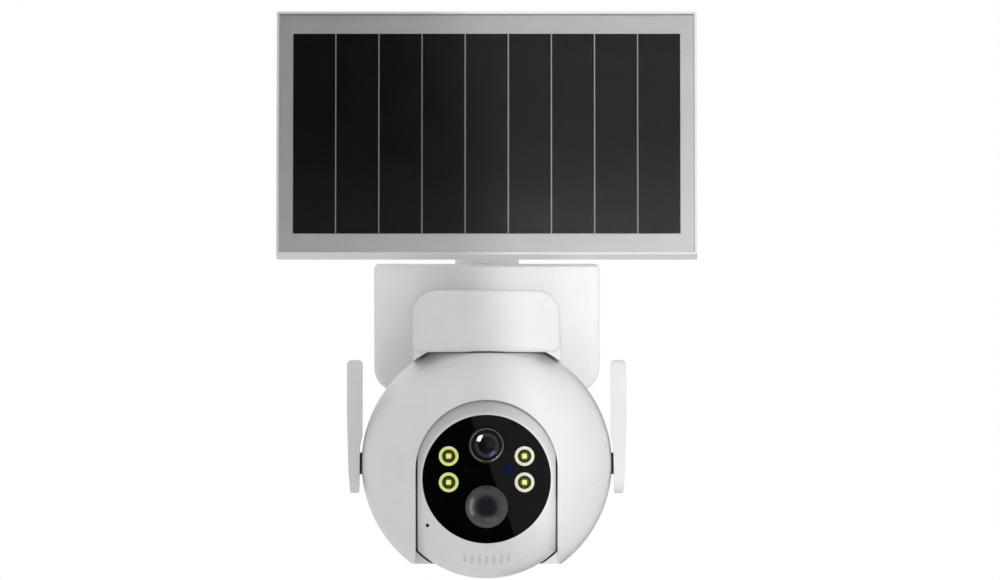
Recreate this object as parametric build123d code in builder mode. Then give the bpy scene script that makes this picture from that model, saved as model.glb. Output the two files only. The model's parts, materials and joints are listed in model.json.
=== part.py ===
from build123d import *
import os
from math import acos, asin, atan2, cos, degrees, pi, radians, sin, sqrt, tan

# Solar-powered pan and tilt security camera, in millimetres.
#
# Frame: +X to the viewer's right, +Y into the wall, +Z up.  The origin is the middle of the wall
# plate's bolt pattern, on the wall.  "out" is a distance from the wall, so it is -Y.

# ---------------------------------------------------------------- driving dimensions

# wall housing
HOUSING_W = 102.0
HOUSING_H = 58.0
HOUSING_FRONT = 32.0          # out from the wall
HOUSING_WALL = 2.4
HOUSING_TOP_R = 2.5
HOUSING_BOTTOM_R = 11.0
PLATE_T = 3.0                 # wall plate
BACK_T = 2.4                  # housing back
PLATE_W, PLATE_H = 84.0, 46.0
WALL_HOLE_X, WALL_HOLE_Z = 64.0, 30.0
WALL_HOLE_R = 2.25
BOSS_X, BOSS_Z = 44.0, 20.0   # housing screws

# arm over the ball
ARM_HALF_W = 33.1
ARM_TOP = 17.1
ARM_BOTTOM = -10.8
ARM_FRONT = 126.0
ARM_WALL = 2.4
ARM_TOP_R = 11.0
ARM_BOTTOM_R = 3.5
SKIRT_BOTTOM = -16.5

# ball, which pans about the vertical axis through its centre
PAN_OUT = 98.0
BALL_Z = -60.9
BALL_R = 56.3
BALL_WALL = 2.5
BALL_TOP = 49.8               # flat top, above the centre
BALL_BOTTOM = -45.1           # flat bottom, below the centre
SEAM = 13.0                   # seam of the two ball shells, behind the centre
SLOT_HALF = 31.9
ARCH_Z = -3.15                # centre of the slot's round top, from the ball's centre

# head, which tilts about the X axis through its own centre
HEAD_FORWARD = 8.0            # its centre, ahead of the ball's
HEAD_DROP = 6.75              # and below it
HEAD_R = 44.9
HEAD_HALF_W = 31.0
HEAD_WALL = 2.2
HEAD_GAP = 0.8
FACE = 33.6                   # flat front face, ahead of the head's centre
WINDOW_R = 28.8
WINDOW_T = 2.0

LENS_Z = 15.2
LENS_R = 7.5
PIR_Z = -12.4
PIR_R = 9.5
LED_X = 17.0
LED_ZS = (10.3, -1.45)
LED_R = 4.4
SENSOR_X, SENSOR_Z = 10.05, 4.4
SENSOR_R = 2.4

# antennas
ANTENNA_TOP = 46.5            # above the pivot
ANTENNA_FOOT = 13.35          # below it
PIVOT_R = 4.9

# solar panel
PANEL_W = 190.0
PANEL_H = 113.8
PANEL_T = 10.0
PANEL_LIP = 1.05
PANEL_LEAN = 15.0             # degrees back from upright at rest
PANEL_LOW = 30.6              # height of its lowest edge
PIVOT_OUT = 32.8              # tilt bolt of the panel
PIVOT_BEHIND = 14.0           # tilt bolt, behind the panel's back
CELL_COUNT = 9
CELL_PITCH = 19.5
CELL_H = 93.6
CELL_GAP = 0.45
SWIVEL_OUT = 16.0

# pan and tilt gears
GEAR_MODULE = 0.6
GEAR_TEETH = 48
PINION_TEETH = 13
GEAR_SPACING = GEAR_MODULE * (GEAR_TEETH + PINION_TEETH) / 2
MOTOR_R = 10.0

SHAFT_GAP = 0.05              # radial clearance of everything that turns or slides

BALL = (0, -PAN_OUT, BALL_Z)
HEAD_OUT = PAN_OUT + HEAD_FORWARD
HEAD_Z = BALL_Z - HEAD_DROP
HEAD = (0, -HEAD_OUT, HEAD_Z)

os.makedirs("parts", exist_ok=True)

# ---------------------------------------------------------------- helpers


def save(piece, name):
    """Label one finished sub-part and write it as its own STEP file."""
    piece.part.label = name
    export_step(piece.part, f"parts/{name}.step")


def facing_front(x=0.0, out=0.0, up=0.0):
    """Plane that faces away from the wall: local x is +X and local y is +Z."""
    return Plane(origin=(x, -out, up), x_dir=(1, 0, 0), z_dir=(0, -1, 0))


def facing_up(x=0.0, out=0.0, up=0.0):
    """Plane that faces up: local x is +X and local y is +Y, towards the wall."""
    return Plane(origin=(x, -out, up), x_dir=(1, 0, 0), z_dir=(0, 0, 1))


def facing_side(x=0.0, out=0.0, up=0.0, side=1):
    """Plane that faces +X or -X: local y is +Z, and local x is +Y for the +X side."""
    return Plane(origin=(x, -out, up), x_dir=(0, side, 0), z_dir=(side, 0, 0))


def housing_outline(inset=0.0):
    """Front outline of the wall housing: small round corners above, large ones below."""
    half_w = HOUSING_W / 2 - inset
    half_h = HOUSING_H / 2 - inset
    with BuildSketch() as outline:
        Rectangle(2 * half_w, 2 * half_h)
        upper = outline.vertices().group_by(Axis.Y)[-1]
        fillet(upper, max(HOUSING_TOP_R - inset, 0.6))
        lower = outline.vertices().group_by(Axis.Y)[0]
        fillet(lower, HOUSING_BOTTOM_R - inset)
    return outline.sketch


def arm_outline(inset=0.0):
    """Front outline of the arm."""
    half_w = ARM_HALF_W - inset
    with BuildSketch() as outline:
        with Locations((0, (ARM_TOP + ARM_BOTTOM) / 2)):
            Rectangle(2 * half_w, ARM_TOP - ARM_BOTTOM - 2 * inset)
        upper = outline.vertices().group_by(Axis.Y)[-1]
        fillet(upper, ARM_TOP_R - inset)
        lower = outline.vertices().group_by(Axis.Y)[0]
        fillet(lower, ARM_BOTTOM_R - inset)
    return outline.sketch


def slot_outline(half_width, floor):
    """The ball's slot seen from the front: straight sides under a round top."""
    with BuildSketch() as outline:
        with BuildLine():
            Line((-half_width, floor), (-half_width, ARCH_Z))
            ThreePointArc((-half_width, ARCH_Z), (0, ARCH_Z + half_width), (half_width, ARCH_Z))
            Line((half_width, ARCH_Z), (half_width, floor))
            Line((half_width, floor), (-half_width, floor))
        make_face()
    return outline.sketch


def dome(rim_r, rim_ahead, crown):
    """Three points of a dome's section, from its rim to its crown, on a sphere centred on the axis."""
    radius = (rim_r**2 + crown**2) / (2 * crown)
    centre = rim_ahead + crown - radius
    half = asin(rim_r / radius) / 2
    middle = (radius * sin(half), -centre - radius * cos(half))
    return (rim_r, -rim_ahead), middle, (0, -rim_ahead - crown)


def involute(angle):
    return tan(angle) - angle


def gear_outline(teeth, tooth_angle, bore=0.0):
    """Involute spur gear with one tooth centred on tooth_angle, in degrees, around a round bore."""
    pressure = radians(25)
    backlash_share = 0.92
    pitch_r = GEAR_MODULE * teeth / 2
    base_r = pitch_r * cos(pressure)
    tip_r = pitch_r + 0.85 * GEAR_MODULE
    root_r = pitch_r - 1.1 * GEAR_MODULE
    half_at_pitch = backlash_share * pi / (2 * teeth)
    start_r = max(base_r, root_r)
    flank = [root_r] if root_r < base_r else []
    steps = 4
    flank += [start_r + (tip_r - start_r) * i / steps for i in range(steps + 1)]
    points = []
    for tooth in range(teeth):
        middle = radians(tooth_angle) + 2 * pi * tooth / teeth
        halves = []
        for r in flank:
            lean = involute(acos(min(1.0, base_r / r)))
            halves.append((r, half_at_pitch + involute(pressure) - lean))
        points += [(r * cos(middle - half), r * sin(middle - half)) for r, half in halves]
        points += [(r * cos(middle + half), r * sin(middle + half)) for r, half in reversed(halves)]
    with BuildSketch() as outline:
        with BuildLine():
            Polyline(*points, close=True)
        make_face()
        if bore > 0:
            Circle(bore, mode=Mode.SUBTRACT)
    return outline.sketch


def screw(plane, head_r, head_t, shank_r, length):
    """Pan-head screw with a cross recess. The head stands on the plane and the shank goes down."""
    with BuildPart() as piece:
        with BuildSketch(plane):
            Circle(head_r)
        extrude(amount=head_t)
        with BuildSketch(plane):
            Circle(shank_r)
        extrude(amount=-length)
        with BuildSketch(plane.offset(head_t)):
            Rectangle(1.3 * head_r, 0.3 * head_r)
            Rectangle(0.3 * head_r, 1.3 * head_r)
        extrude(amount=-0.5 * head_t, mode=Mode.SUBTRACT)
    return piece.part


def save_group(solids, name):
    """Write identical loose pieces as one node."""
    with BuildPart() as group:
        for solid in solids:
            add(solid)
    save(group, name)


# ---------------------------------------------------------------- wall plate and housing

BACK_FRONT = PLATE_T + BACK_T
GASKET_T = 0.6
SHELL_START = BACK_FRONT + GASKET_T
RIM_INSET = HOUSING_WALL + 0.1
RIM_T = 1.5
RIM_END = 8.0
HOOK_X, HOOK_Z = 16.0, 13.0
HOOK_W = 9.0
HOOK_LIP = 5.0
HOOK_END = 6.2

with BuildPart() as wall_plate:
    with BuildSketch(facing_front()):
        RectangleRounded(PLATE_W, PLATE_H, 4)
        with GridLocations(WALL_HOLE_X, WALL_HOLE_Z, 2, 2):
            Circle(WALL_HOLE_R, mode=Mode.SUBTRACT)
        SlotOverall(24, 8, mode=Mode.SUBTRACT)
    extrude(amount=PLATE_T)
    # four hooks that the housing drops onto
    with BuildSketch(facing_front(out=PLATE_T)):
        with GridLocations(2 * HOOK_X, 2 * HOOK_Z, 2, 2):
            Rectangle(HOOK_W, 2)
    extrude(amount=HOOK_END - PLATE_T)
    with BuildSketch(facing_front(out=HOOK_END, up=HOOK_LIP / 2 - 1)):
        with GridLocations(2 * HOOK_X, 2 * HOOK_Z, 2, 2):
            Rectangle(HOOK_W, HOOK_LIP)
    extrude(amount=-1.3)
save(wall_plate, "wall_plate")

POCKET_R = 4.6                # for the heads of the wall screws
POCKET_END = 6.6
CATCH_T = 1.6                 # lip of the housing back that the hooks hold

with BuildPart() as housing_back:
    with BuildSketch(facing_front(out=PLATE_T)):
        add(housing_outline())
    extrude(amount=BACK_T)
    with BuildSketch(facing_front(out=BACK_FRONT)):
        add(housing_outline(RIM_INSET))
        add(housing_outline(RIM_INSET + RIM_T), mode=Mode.SUBTRACT)
    extrude(amount=RIM_END - BACK_FRONT)
    with BuildSketch(facing_front(out=BACK_FRONT)):
        with GridLocations(WALL_HOLE_X, WALL_HOLE_Z, 2, 2):
            Circle(POCKET_R + 1.2)
        with GridLocations(2 * HOOK_X, 2 * HOOK_Z, 2, 2):
            Rectangle(HOOK_W + 3, 13)
    extrude(amount=RIM_END - BACK_FRONT)
    with BuildSketch(facing_front(out=PLATE_T)):
        with GridLocations(WALL_HOLE_X, WALL_HOLE_Z, 2, 2):
            Circle(POCKET_R)
    extrude(amount=POCKET_END - PLATE_T, mode=Mode.SUBTRACT)
    # the hooks go in below and rise behind the catch as the housing drops
    with BuildSketch(facing_front(out=PLATE_T, up=-1.9)):
        with GridLocations(2 * HOOK_X, 2 * HOOK_Z, 2, 2):
            Rectangle(HOOK_W + 0.6, 6.2)
    extrude(amount=CATCH_T, mode=Mode.SUBTRACT)
    with BuildSketch(facing_front(out=PLATE_T + CATCH_T)):
        with GridLocations(2 * HOOK_X, 2 * HOOK_Z, 2, 2):
            Rectangle(HOOK_W + 0.6, 10)
    extrude(amount=POCKET_END - PLATE_T - CATCH_T, mode=Mode.SUBTRACT)
    with BuildSketch(facing_front(out=PLATE_T)):
        with GridLocations(2 * BOSS_X, 2 * BOSS_Z, 2, 2):
            Circle(1.6)
    extrude(amount=RIM_END - PLATE_T, mode=Mode.SUBTRACT)
    with BuildSketch(facing_front(out=PLATE_T)):
        with GridLocations(2 * BOSS_X, 2 * BOSS_Z, 2, 2):
            Circle(3.0)
    extrude(amount=1.6, mode=Mode.SUBTRACT)
save(housing_back, "housing_back")

BUTTON_X, BUTTON_OUT, BUTTON_R = -22.0, 19.0, 4.0
USB_X, USB_OUT = 18.0, 19.0
USB_RECESS = (15.0, 9.0)
USB_RECESS_T = 1.6
INLET_X, INLET_OUT, INLET_R = 36.0, 18.0, 5.0
ARM_SCREW_X, ARM_SCREW_ZS = 22.0, (-2.0, 10.5)
WIRE_R = 5.0
FLOOR = -HOUSING_H / 2

with BuildPart() as housing_shell:
    with BuildSketch(facing_front(out=SHELL_START)):
        add(housing_outline())
    extrude(amount=HOUSING_FRONT - SHELL_START)
    fillet(housing_shell.faces().sort_by(Axis.Y)[0].edges(), 2.2)
    with BuildSketch(facing_front(out=SHELL_START)):
        add(housing_outline(HOUSING_WALL))
    extrude(amount=HOUSING_FRONT - SHELL_START - HOUSING_WALL, mode=Mode.SUBTRACT)
    with BuildSketch(facing_front(out=RIM_END)):
        with GridLocations(2 * BOSS_X, 2 * BOSS_Z, 2, 2):
            Circle(3.6)
    extrude(amount=HOUSING_FRONT - HOUSING_WALL - RIM_END)
    with BuildSketch(facing_front(out=RIM_END)):
        with GridLocations(2 * BOSS_X, 2 * BOSS_Z, 2, 2):
            Circle(1.25)
    extrude(amount=12, mode=Mode.SUBTRACT)
    # pad behind the charging port
    with BuildSketch(facing_up(USB_X, USB_OUT, FLOOR + HOUSING_WALL)):
        Rectangle(18, 12)
    extrude(amount=1.2)
    with BuildSketch(facing_up(USB_X, USB_OUT, FLOOR)):
        Rectangle(*USB_RECESS)
    extrude(amount=USB_RECESS_T, mode=Mode.SUBTRACT)
    with BuildSketch(facing_up(USB_X, USB_OUT, FLOOR)):
        SlotOverall(9.6, 4.4)
    extrude(amount=4, mode=Mode.SUBTRACT)
    # power button, solar inlet, wire passage and arm screws
    with BuildSketch(facing_up(0, 0, FLOOR)):
        with Locations((BUTTON_X, -BUTTON_OUT)):
            Circle(BUTTON_R + SHAFT_GAP)
        with Locations((INLET_X, -INLET_OUT)):
            Circle(INLET_R)
    extrude(amount=HOUSING_WALL + 0.1, mode=Mode.SUBTRACT)
    with BuildSketch(facing_front(out=HOUSING_FRONT)):
        with Locations((0, 4)):
            Circle(WIRE_R)
        for screw_z in ARM_SCREW_ZS:
            with Locations((-ARM_SCREW_X, screw_z), (ARM_SCREW_X, screw_z)):
                Circle(1.6)
    extrude(amount=-HOUSING_WALL, mode=Mode.SUBTRACT)
save(housing_shell, "housing_shell")

with BuildPart() as housing_gasket:
    with BuildSketch(facing_front(out=BACK_FRONT)):
        add(housing_outline(0.3))
        add(housing_outline(HOUSING_WALL - 0.1), mode=Mode.SUBTRACT)
    extrude(amount=GASKET_T)
save(housing_gasket, "housing_gasket")

CELL_D, CELL_L = 18.4, 65.0
CELL_OUT = 18.7
CELL_Z = 9.6

with BuildPart() as battery_cells:
    with BuildSketch(facing_side(-CELL_L / 2, CELL_OUT)):
        with Locations((0, -CELL_Z), (0, CELL_Z)):
            Circle(CELL_D / 2)
    extrude(amount=CELL_L - 1.2)
    with BuildSketch(facing_side(CELL_L / 2 - 1.2, CELL_OUT)):
        with Locations((0, -CELL_Z), (0, CELL_Z)):
            Circle(2.8)
    extrude(amount=1.2)
save(battery_cells, "battery_cells")

with BuildPart() as battery_cradle:
    with BuildSketch(facing_front(out=8.6)):
        Rectangle(2 * (CELL_L / 2 + 2.4), 40)
    extrude(amount=7.0)
    with BuildSketch(facing_front(out=8.6)):
        with Locations((-CELL_L / 2 - 1.4, 0), (CELL_L / 2 + 1.4, 0)):
            Rectangle(2, 40)
    extrude(amount=19.4)
    with BuildSketch(facing_side(-CELL_L / 2 - 0.2, CELL_OUT)):
        with Locations((0, -CELL_Z), (0, CELL_Z)):
            Circle(CELL_D / 2 + 0.05)
    extrude(amount=CELL_L + 0.4, mode=Mode.SUBTRACT)
save(battery_cradle, "battery_cradle")

with BuildPart() as charge_board:
    with BuildSketch(facing_side(38, CELL_OUT + 0.5)):
        with Locations((0, -3.5)):
            Rectangle(18, 37)
    extrude(amount=1.6)
    # narrow board along the floor that carries the socket
    with BuildSketch(facing_front(out=USB_OUT + 1.6)):
        with Locations((25, FLOOR + 7.2)):
            Rectangle(26, 3)
    extrude(amount=1.6)
    with BuildSketch(facing_side(39.6, CELL_OUT + 0.5)):
        with Locations((-3, 6), (3.5, -7)):
            Rectangle(6, 6)
    extrude(amount=1.4)
    # charging socket behind its opening in the housing floor
    with BuildSketch(facing_up(USB_X, USB_OUT, FLOOR + 3.7)):
        SlotOverall(8.9, 3.2)
        SlotOverall(8.3, 2.6, mode=Mode.SUBTRACT)
    extrude(amount=6.5)
    with BuildSketch(facing_up(USB_X, USB_OUT, FLOOR + 9)):
        SlotOverall(8.9, 3.2)
    extrude(amount=1.2)
    with BuildSketch(facing_up(USB_X, USB_OUT, FLOOR + 4.4)):
        Rectangle(6.4, 0.7)
    extrude(amount=5)
save(charge_board, "charge_board")

FLAP_CLEAR = 0.2
FLAP_T = 1.4

with BuildPart() as usb_flap:
    with BuildSketch(facing_up(USB_X, USB_OUT, FLOOR)):
        Rectangle(USB_RECESS[0] - 2 * FLAP_CLEAR, USB_RECESS[1] - 2 * FLAP_CLEAR)
    extrude(amount=FLAP_T)
    chamfer(usb_flap.faces().sort_by(Axis.Z)[0].edges().filter_by(Axis.X).sort_by(Axis.Y)[:1], 0.5)
    with BuildSketch(facing_up(USB_X, USB_OUT, FLOOR + FLAP_T)):
        SlotOverall(7.2, 2.2)
    extrude(amount=1.2)
save(usb_flap, "usb_flap")

with BuildPart() as power_button:
    with BuildSketch(facing_up(BUTTON_X, BUTTON_OUT, FLOOR - 0.6)):
        Circle(BUTTON_R)
    extrude(amount=4.4)
    chamfer(power_button.faces().sort_by(Axis.Z)[0].edges(), 0.4)
    with BuildSketch(facing_up(BUTTON_X, BUTTON_OUT, FLOOR + HOUSING_WALL + 0.15)):
        Circle(BUTTON_R + 1)
    extrude(amount=1)
save(power_button, "power_button")

with BuildPart() as solar_inlet:
    with BuildSketch(facing_up(INLET_X, INLET_OUT, FLOOR - 3)):
        Circle(INLET_R + 1.2)
    extrude(amount=3)
    fillet(solar_inlet.faces().sort_by(Axis.Z)[0].edges(), 0.6)
    with BuildSketch(facing_up(INLET_X, INLET_OUT, FLOOR)):
        Circle(INLET_R)
    extrude(amount=HOUSING_WALL + 2.6)
    # socket with its centre pin
    with BuildSketch(facing_up(INLET_X, INLET_OUT, FLOOR - 3)):
        Circle(2.8)
        Circle(1.0, mode=Mode.SUBTRACT)
    extrude(amount=6.6, mode=Mode.SUBTRACT)
save(solar_inlet, "solar_inlet")

# ---------------------------------------------------------------- arm with the pan drive

OPENING = (57.0, 38.4)        # hatch under the arm, X and Y
HATCH_OUT = PAN_OUT + 3.25
HATCH_BOSS_X = 25.5
HATCH_BOSS_OUTS = (86.0, 116.6)
BALL_CLEAR = 0.9

with BuildPart() as ball_sweep:
    with Locations(BALL):
        Sphere(BALL_R + BALL_CLEAR)

# Skirt under the arm, inside the circle that the antennas sweep. It cups the ball behind the pan
# joint, and beside and before the joint it ends on the ball's contour as seen from the front.
SKIRT_R = 53.0
SKIRT_FRONT, SKIRT_BACK = 25.0, 42.0      # ahead of the pan axis, and behind it
CUP_START = 17.0

with BuildPart() as arm_skirt:
    with BuildSketch(facing_up(0, PAN_OUT, SKIRT_BOTTOM)):
        Circle(SKIRT_R)
        with Locations((0, (SKIRT_BACK - SKIRT_FRONT) / 2)):
            Rectangle(2 * ARM_HALF_W, SKIRT_FRONT + SKIRT_BACK, mode=Mode.INTERSECT)
    extrude(amount=ARM_BOTTOM + 2 - SKIRT_BOTTOM)
    with BuildSketch(facing_front(out=PAN_OUT - CUP_START, up=BALL_Z)):
        Circle(BALL_R + 0.4)
    extrude(amount=60, mode=Mode.SUBTRACT)

with BuildPart() as arm_shell:
    with BuildSketch(facing_front(out=HOUSING_FRONT)):
        add(arm_outline())
    extrude(amount=ARM_FRONT - HOUSING_FRONT)
    fillet(arm_shell.faces().sort_by(Axis.Y)[0].edges(), 3.2)
    add(arm_skirt.part)
    add(ball_sweep.part, mode=Mode.SUBTRACT)
    with BuildSketch(facing_front(out=HOUSING_FRONT + ARM_WALL)):
        add(arm_outline(ARM_WALL))
    extrude(amount=ARM_FRONT - HOUSING_FRONT - 2 * ARM_WALL, mode=Mode.SUBTRACT)
    with BuildSketch(facing_up(0, HATCH_OUT, SKIRT_BOTTOM)):
        RectangleRounded(*OPENING, 3)
    extrude(amount=ARM_BOTTOM + ARM_WALL + 0.1 - SKIRT_BOTTOM, mode=Mode.SUBTRACT)
    # bosses for the hatch screws and for the screws from the housing
    for boss_out in HATCH_BOSS_OUTS:
        with BuildSketch(facing_up(0, boss_out, ARM_BOTTOM + ARM_WALL)):
            with Locations((-HATCH_BOSS_X, 0), (HATCH_BOSS_X, 0)):
                Circle(2.9)
        extrude(amount=ARM_TOP - ARM_BOTTOM - 2 * ARM_WALL + 0.5)
        with BuildSketch(facing_up(0, boss_out, ARM_BOTTOM + ARM_WALL)):
            with Locations((-HATCH_BOSS_X, 0), (HATCH_BOSS_X, 0)):
                Circle(1.0)
        extrude(amount=10, mode=Mode.SUBTRACT)
    for screw_z in ARM_SCREW_ZS:
        with BuildSketch(facing_front(out=HOUSING_FRONT + ARM_WALL, up=screw_z)):
            with Locations((-ARM_SCREW_X, 0), (ARM_SCREW_X, 0)):
                Circle(3)
        extrude(amount=8)
        with BuildSketch(facing_front(out=HOUSING_FRONT, up=screw_z)):
            with Locations((-ARM_SCREW_X, 0), (ARM_SCREW_X, 0)):
                Circle(1.25)
        extrude(amount=9, mode=Mode.SUBTRACT)
    with BuildSketch(facing_front(out=HOUSING_FRONT, up=4)):
        Circle(WIRE_R)
    extrude(amount=ARM_WALL + 0.1, mode=Mode.SUBTRACT)
save(arm_shell, "arm_shell")

# housing screws run forward from the back; arm screws run forward from inside the housing
CASE_SCREW_L = 9.0
back_screws = [(x, PLATE_T + 1.6, z) for x in (-BOSS_X, BOSS_X) for z in (-BOSS_Z, BOSS_Z)]
arm_screws = [(x, HOUSING_FRONT - HOUSING_WALL, z) for x in (-ARM_SCREW_X, ARM_SCREW_X) for z in ARM_SCREW_ZS]
save_group(
    [screw(facing_front(*point).rotated((180, 0, 0)), 2.8, 1.4, 1.25, CASE_SCREW_L)
     for point in back_screws + arm_screws],
    "case_screws",
)

SPINDLE_R = 8.0
BUSH_R = 9.5
PAN_GEAR_Z = -7.0
GEAR_T = 3.5
MOTOR_Z = -1.8
MOTOR_L = 13.0
MOTOR_EAR = 13.0

with BuildPart() as arm_hatch:
    with BuildSketch(facing_up(0, HATCH_OUT, ARM_BOTTOM)):
        RectangleRounded(OPENING[0] - 0.2, OPENING[1] - 0.2, 3)
        with Locations((0, HATCH_OUT - PAN_OUT)):
            Circle(BUSH_R, mode=Mode.SUBTRACT)
    extrude(amount=ARM_WALL)
    for boss_out in HATCH_BOSS_OUTS:
        with BuildSketch(facing_up(0, boss_out, ARM_BOTTOM)):
            with Locations((-HATCH_BOSS_X, 0), (HATCH_BOSS_X, 0)):
                Circle(1.2)
        extrude(amount=ARM_WALL, mode=Mode.SUBTRACT)
        with BuildSketch(facing_up(0, boss_out, ARM_BOTTOM)):
            with Locations((-HATCH_BOSS_X, 0), (HATCH_BOSS_X, 0)):
                Circle(2.2)
        extrude(amount=1.2, mode=Mode.SUBTRACT)
    # posts that carry the motor's ears
    with BuildSketch(facing_up(GEAR_SPACING, PAN_OUT, ARM_BOTTOM + ARM_WALL)):
        with Locations((0, -MOTOR_EAR), (0, MOTOR_EAR)):
            Circle(2.4)
    extrude(amount=MOTOR_Z - ARM_BOTTOM - ARM_WALL)
save(arm_hatch, "arm_hatch")

save_group(
    [screw(facing_up(x, out, ARM_BOTTOM + 1.2).rotated((180, 0, 0)), 2.0, 1.1, 1.0, 9.0)
     for x in (-HATCH_BOSS_X, HATCH_BOSS_X) for out in HATCH_BOSS_OUTS],
    "hatch_screws",
)

with BuildPart() as pan_bush:
    with BuildSketch(facing_up(0, PAN_OUT, ARM_BOTTOM)):
        Circle(BUSH_R)
    extrude(amount=ARM_WALL)
    with BuildSketch(facing_up(0, PAN_OUT, ARM_BOTTOM + ARM_WALL)):
        Circle(BUSH_R + 2)
    extrude(amount=1)
    with BuildSketch(facing_up(0, PAN_OUT, ARM_BOTTOM)):
        Circle(SPINDLE_R + SHAFT_GAP)
    extrude(amount=ARM_WALL + 1, mode=Mode.SUBTRACT)
save(pan_bush, "pan_bush")

with BuildPart() as pan_motor:
    with BuildSketch(facing_up(GEAR_SPACING, PAN_OUT, MOTOR_Z)):
        Circle(MOTOR_R)
    extrude(amount=MOTOR_L)
    fillet(pan_motor.edges().filter_by(GeomType.CIRCLE), 0.6)
    with BuildSketch(facing_up(GEAR_SPACING, PAN_OUT, MOTOR_Z)):
        SlotCenterToCenter(2 * MOTOR_EAR, 5, rotation=90)
    extrude(amount=0.8)
    with BuildSketch(facing_up(GEAR_SPACING, PAN_OUT, MOTOR_Z)):
        Circle(2.4)
    extrude(amount=-1)
save(pan_motor, "pan_motor")

# a gap of the pinion faces a tooth of the gear
with BuildPart() as pan_pinion:
    with BuildSketch(facing_up(GEAR_SPACING, PAN_OUT, PAN_GEAR_Z)):
        add(gear_outline(PINION_TEETH, 180 + 180 / PINION_TEETH))
    extrude(amount=GEAR_T)
    with BuildSketch(facing_up(GEAR_SPACING, PAN_OUT, PAN_GEAR_Z + GEAR_T)):
        Circle(1.0)
    extrude(amount=MOTOR_Z - 1.1 - PAN_GEAR_Z - GEAR_T)
save(pan_pinion, "pan_pinion")

# ---------------------------------------------------------------- ball shells

ROOF = BALL_Z + BALL_TOP
GROUND = BALL_Z + BALL_BOTTOM
BALL_INNER = BALL_R - BALL_WALL
CHANNEL_T = 2.0
CAVITY_R = HEAD_R + HEAD_GAP


def across(radius, height):
    """Radius of a sphere's slice at a height."""
    return sqrt(radius**2 - height**2)


# hollow sphere with a closed flat top and bottom
with BuildPart() as ball_blank:
    with BuildSketch(Plane(origin=BALL, x_dir=(1, 0, 0), z_dir=(0, -1, 0))):
        with BuildLine():
            outer = RadiusArc((across(BALL_R, BALL_BOTTOM), BALL_BOTTOM),
                              (across(BALL_R, BALL_TOP), BALL_TOP), -BALL_R)
            Polyline(outer @ 1, (0, BALL_TOP), (0, BALL_TOP - BALL_WALL),
                     (across(BALL_INNER, BALL_TOP - BALL_WALL), BALL_TOP - BALL_WALL))
            inner_low = (across(BALL_INNER, BALL_BOTTOM + BALL_WALL), BALL_BOTTOM + BALL_WALL)
            RadiusArc((across(BALL_INNER, BALL_TOP - BALL_WALL), BALL_TOP - BALL_WALL),
                      inner_low, BALL_INNER)
            Polyline(inner_low, (0, BALL_BOTTOM + BALL_WALL), (0, BALL_BOTTOM), outer @ 0)
        make_face()
    revolve(axis=Axis(BALL, (0, 0, 1)))

# walls that line the slot and cup the head
with BuildPart() as channel:
    with BuildSketch(facing_front(out=HEAD_OUT - 2, up=BALL_Z)):
        add(slot_outline(SLOT_HALF + CHANNEL_T, BALL_BOTTOM))
    extrude(amount=60)
    with Locations(HEAD):
        Sphere(CAVITY_R + CHANNEL_T)
    split(bisect_by=Plane.XZ.offset(PAN_OUT - SEAM), keep=Keep.TOP)
    for side in (-1, 1):
        with BuildSketch(facing_side(side * (SLOT_HALF + CHANNEL_T), PAN_OUT, BALL_Z, side)):
            Rectangle(200, 200)
        extrude(amount=60, mode=Mode.SUBTRACT)
    # behind the head's centre only the two side walls stay
    with BuildSketch(facing_front(out=HEAD_OUT - 2)):
        Rectangle(2 * SLOT_HALF, 300)
    extrude(amount=-60, mode=Mode.SUBTRACT)
    with Locations(BALL):
        Sphere(BALL_R - 0.6, mode=Mode.INTERSECT)

with BuildPart() as slot_void:
    with BuildSketch(facing_front(out=HEAD_OUT, up=BALL_Z)):
        add(slot_outline(SLOT_HALF, BALL_BOTTOM - 10))
    extrude(amount=60)
    with BuildPart(mode=Mode.PRIVATE) as cavity:
        with Locations(HEAD):
            Sphere(CAVITY_R)
            Box(2 * SLOT_HALF, 200, 200, mode=Mode.INTERSECT)
    add(cavity.part)

AXLE_R = 4.0
TILT_BUSH_R = 5.6
BUSH_IN, BUSH_OUT = 31.5, 34.6
BALL_SCREWS = [(-44.5, 20.0), (44.5, 20.0), (-41.0, -28.0), (41.0, -28.0)]
SEAM_PLANE = Plane.XZ.offset(PAN_OUT - SEAM)
above_ball = Plane(origin=(0, 0, ROOF))
below_ball = Plane(origin=(0, 0, GROUND))
TILT_GEAR_X = 35.0
TILT_MOTOR_X = 39.5
PINION_ANGLE = degrees(atan2(HEAD_DROP, 17.0))    # pinion as seen from the tilt axis
PINION_OUT = HEAD_OUT - GEAR_SPACING * cos(radians(PINION_ANGLE))
PINION_Z = HEAD_Z + GEAR_SPACING * sin(radians(PINION_ANGLE))

SEAM_GROOVE = 0.35            # chamfer of both shells along their seam


def seam_edges(part, out, radius):
    """The outer arcs of a shell's rim, in its seam plane."""
    rim = part.edges().filter_by(GeomType.CIRCLE).filter_by_position(Axis.Y, -out - 0.01, -out + 0.01)
    return rim.filter_by(lambda edge: abs(edge.radius - radius) < 0.01)


SLOT_RIM_R = 0.6


def slot_rim(part):
    """The edges where the slot breaks through the ball's outer surface."""
    def on_rim(edge):
        for share in (0.25, 0.75):
            point = edge @ share
            across_slot = sqrt(point.X**2 + max(point.Z - BALL_Z - ARCH_Z, 0) ** 2)
            if abs((point - Vector(*BALL)).length - BALL_R) > 0.02 or abs(across_slot - SLOT_HALF) > 0.02:
                return False
        return True
    return part.edges().filter_by(on_rim)


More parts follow.
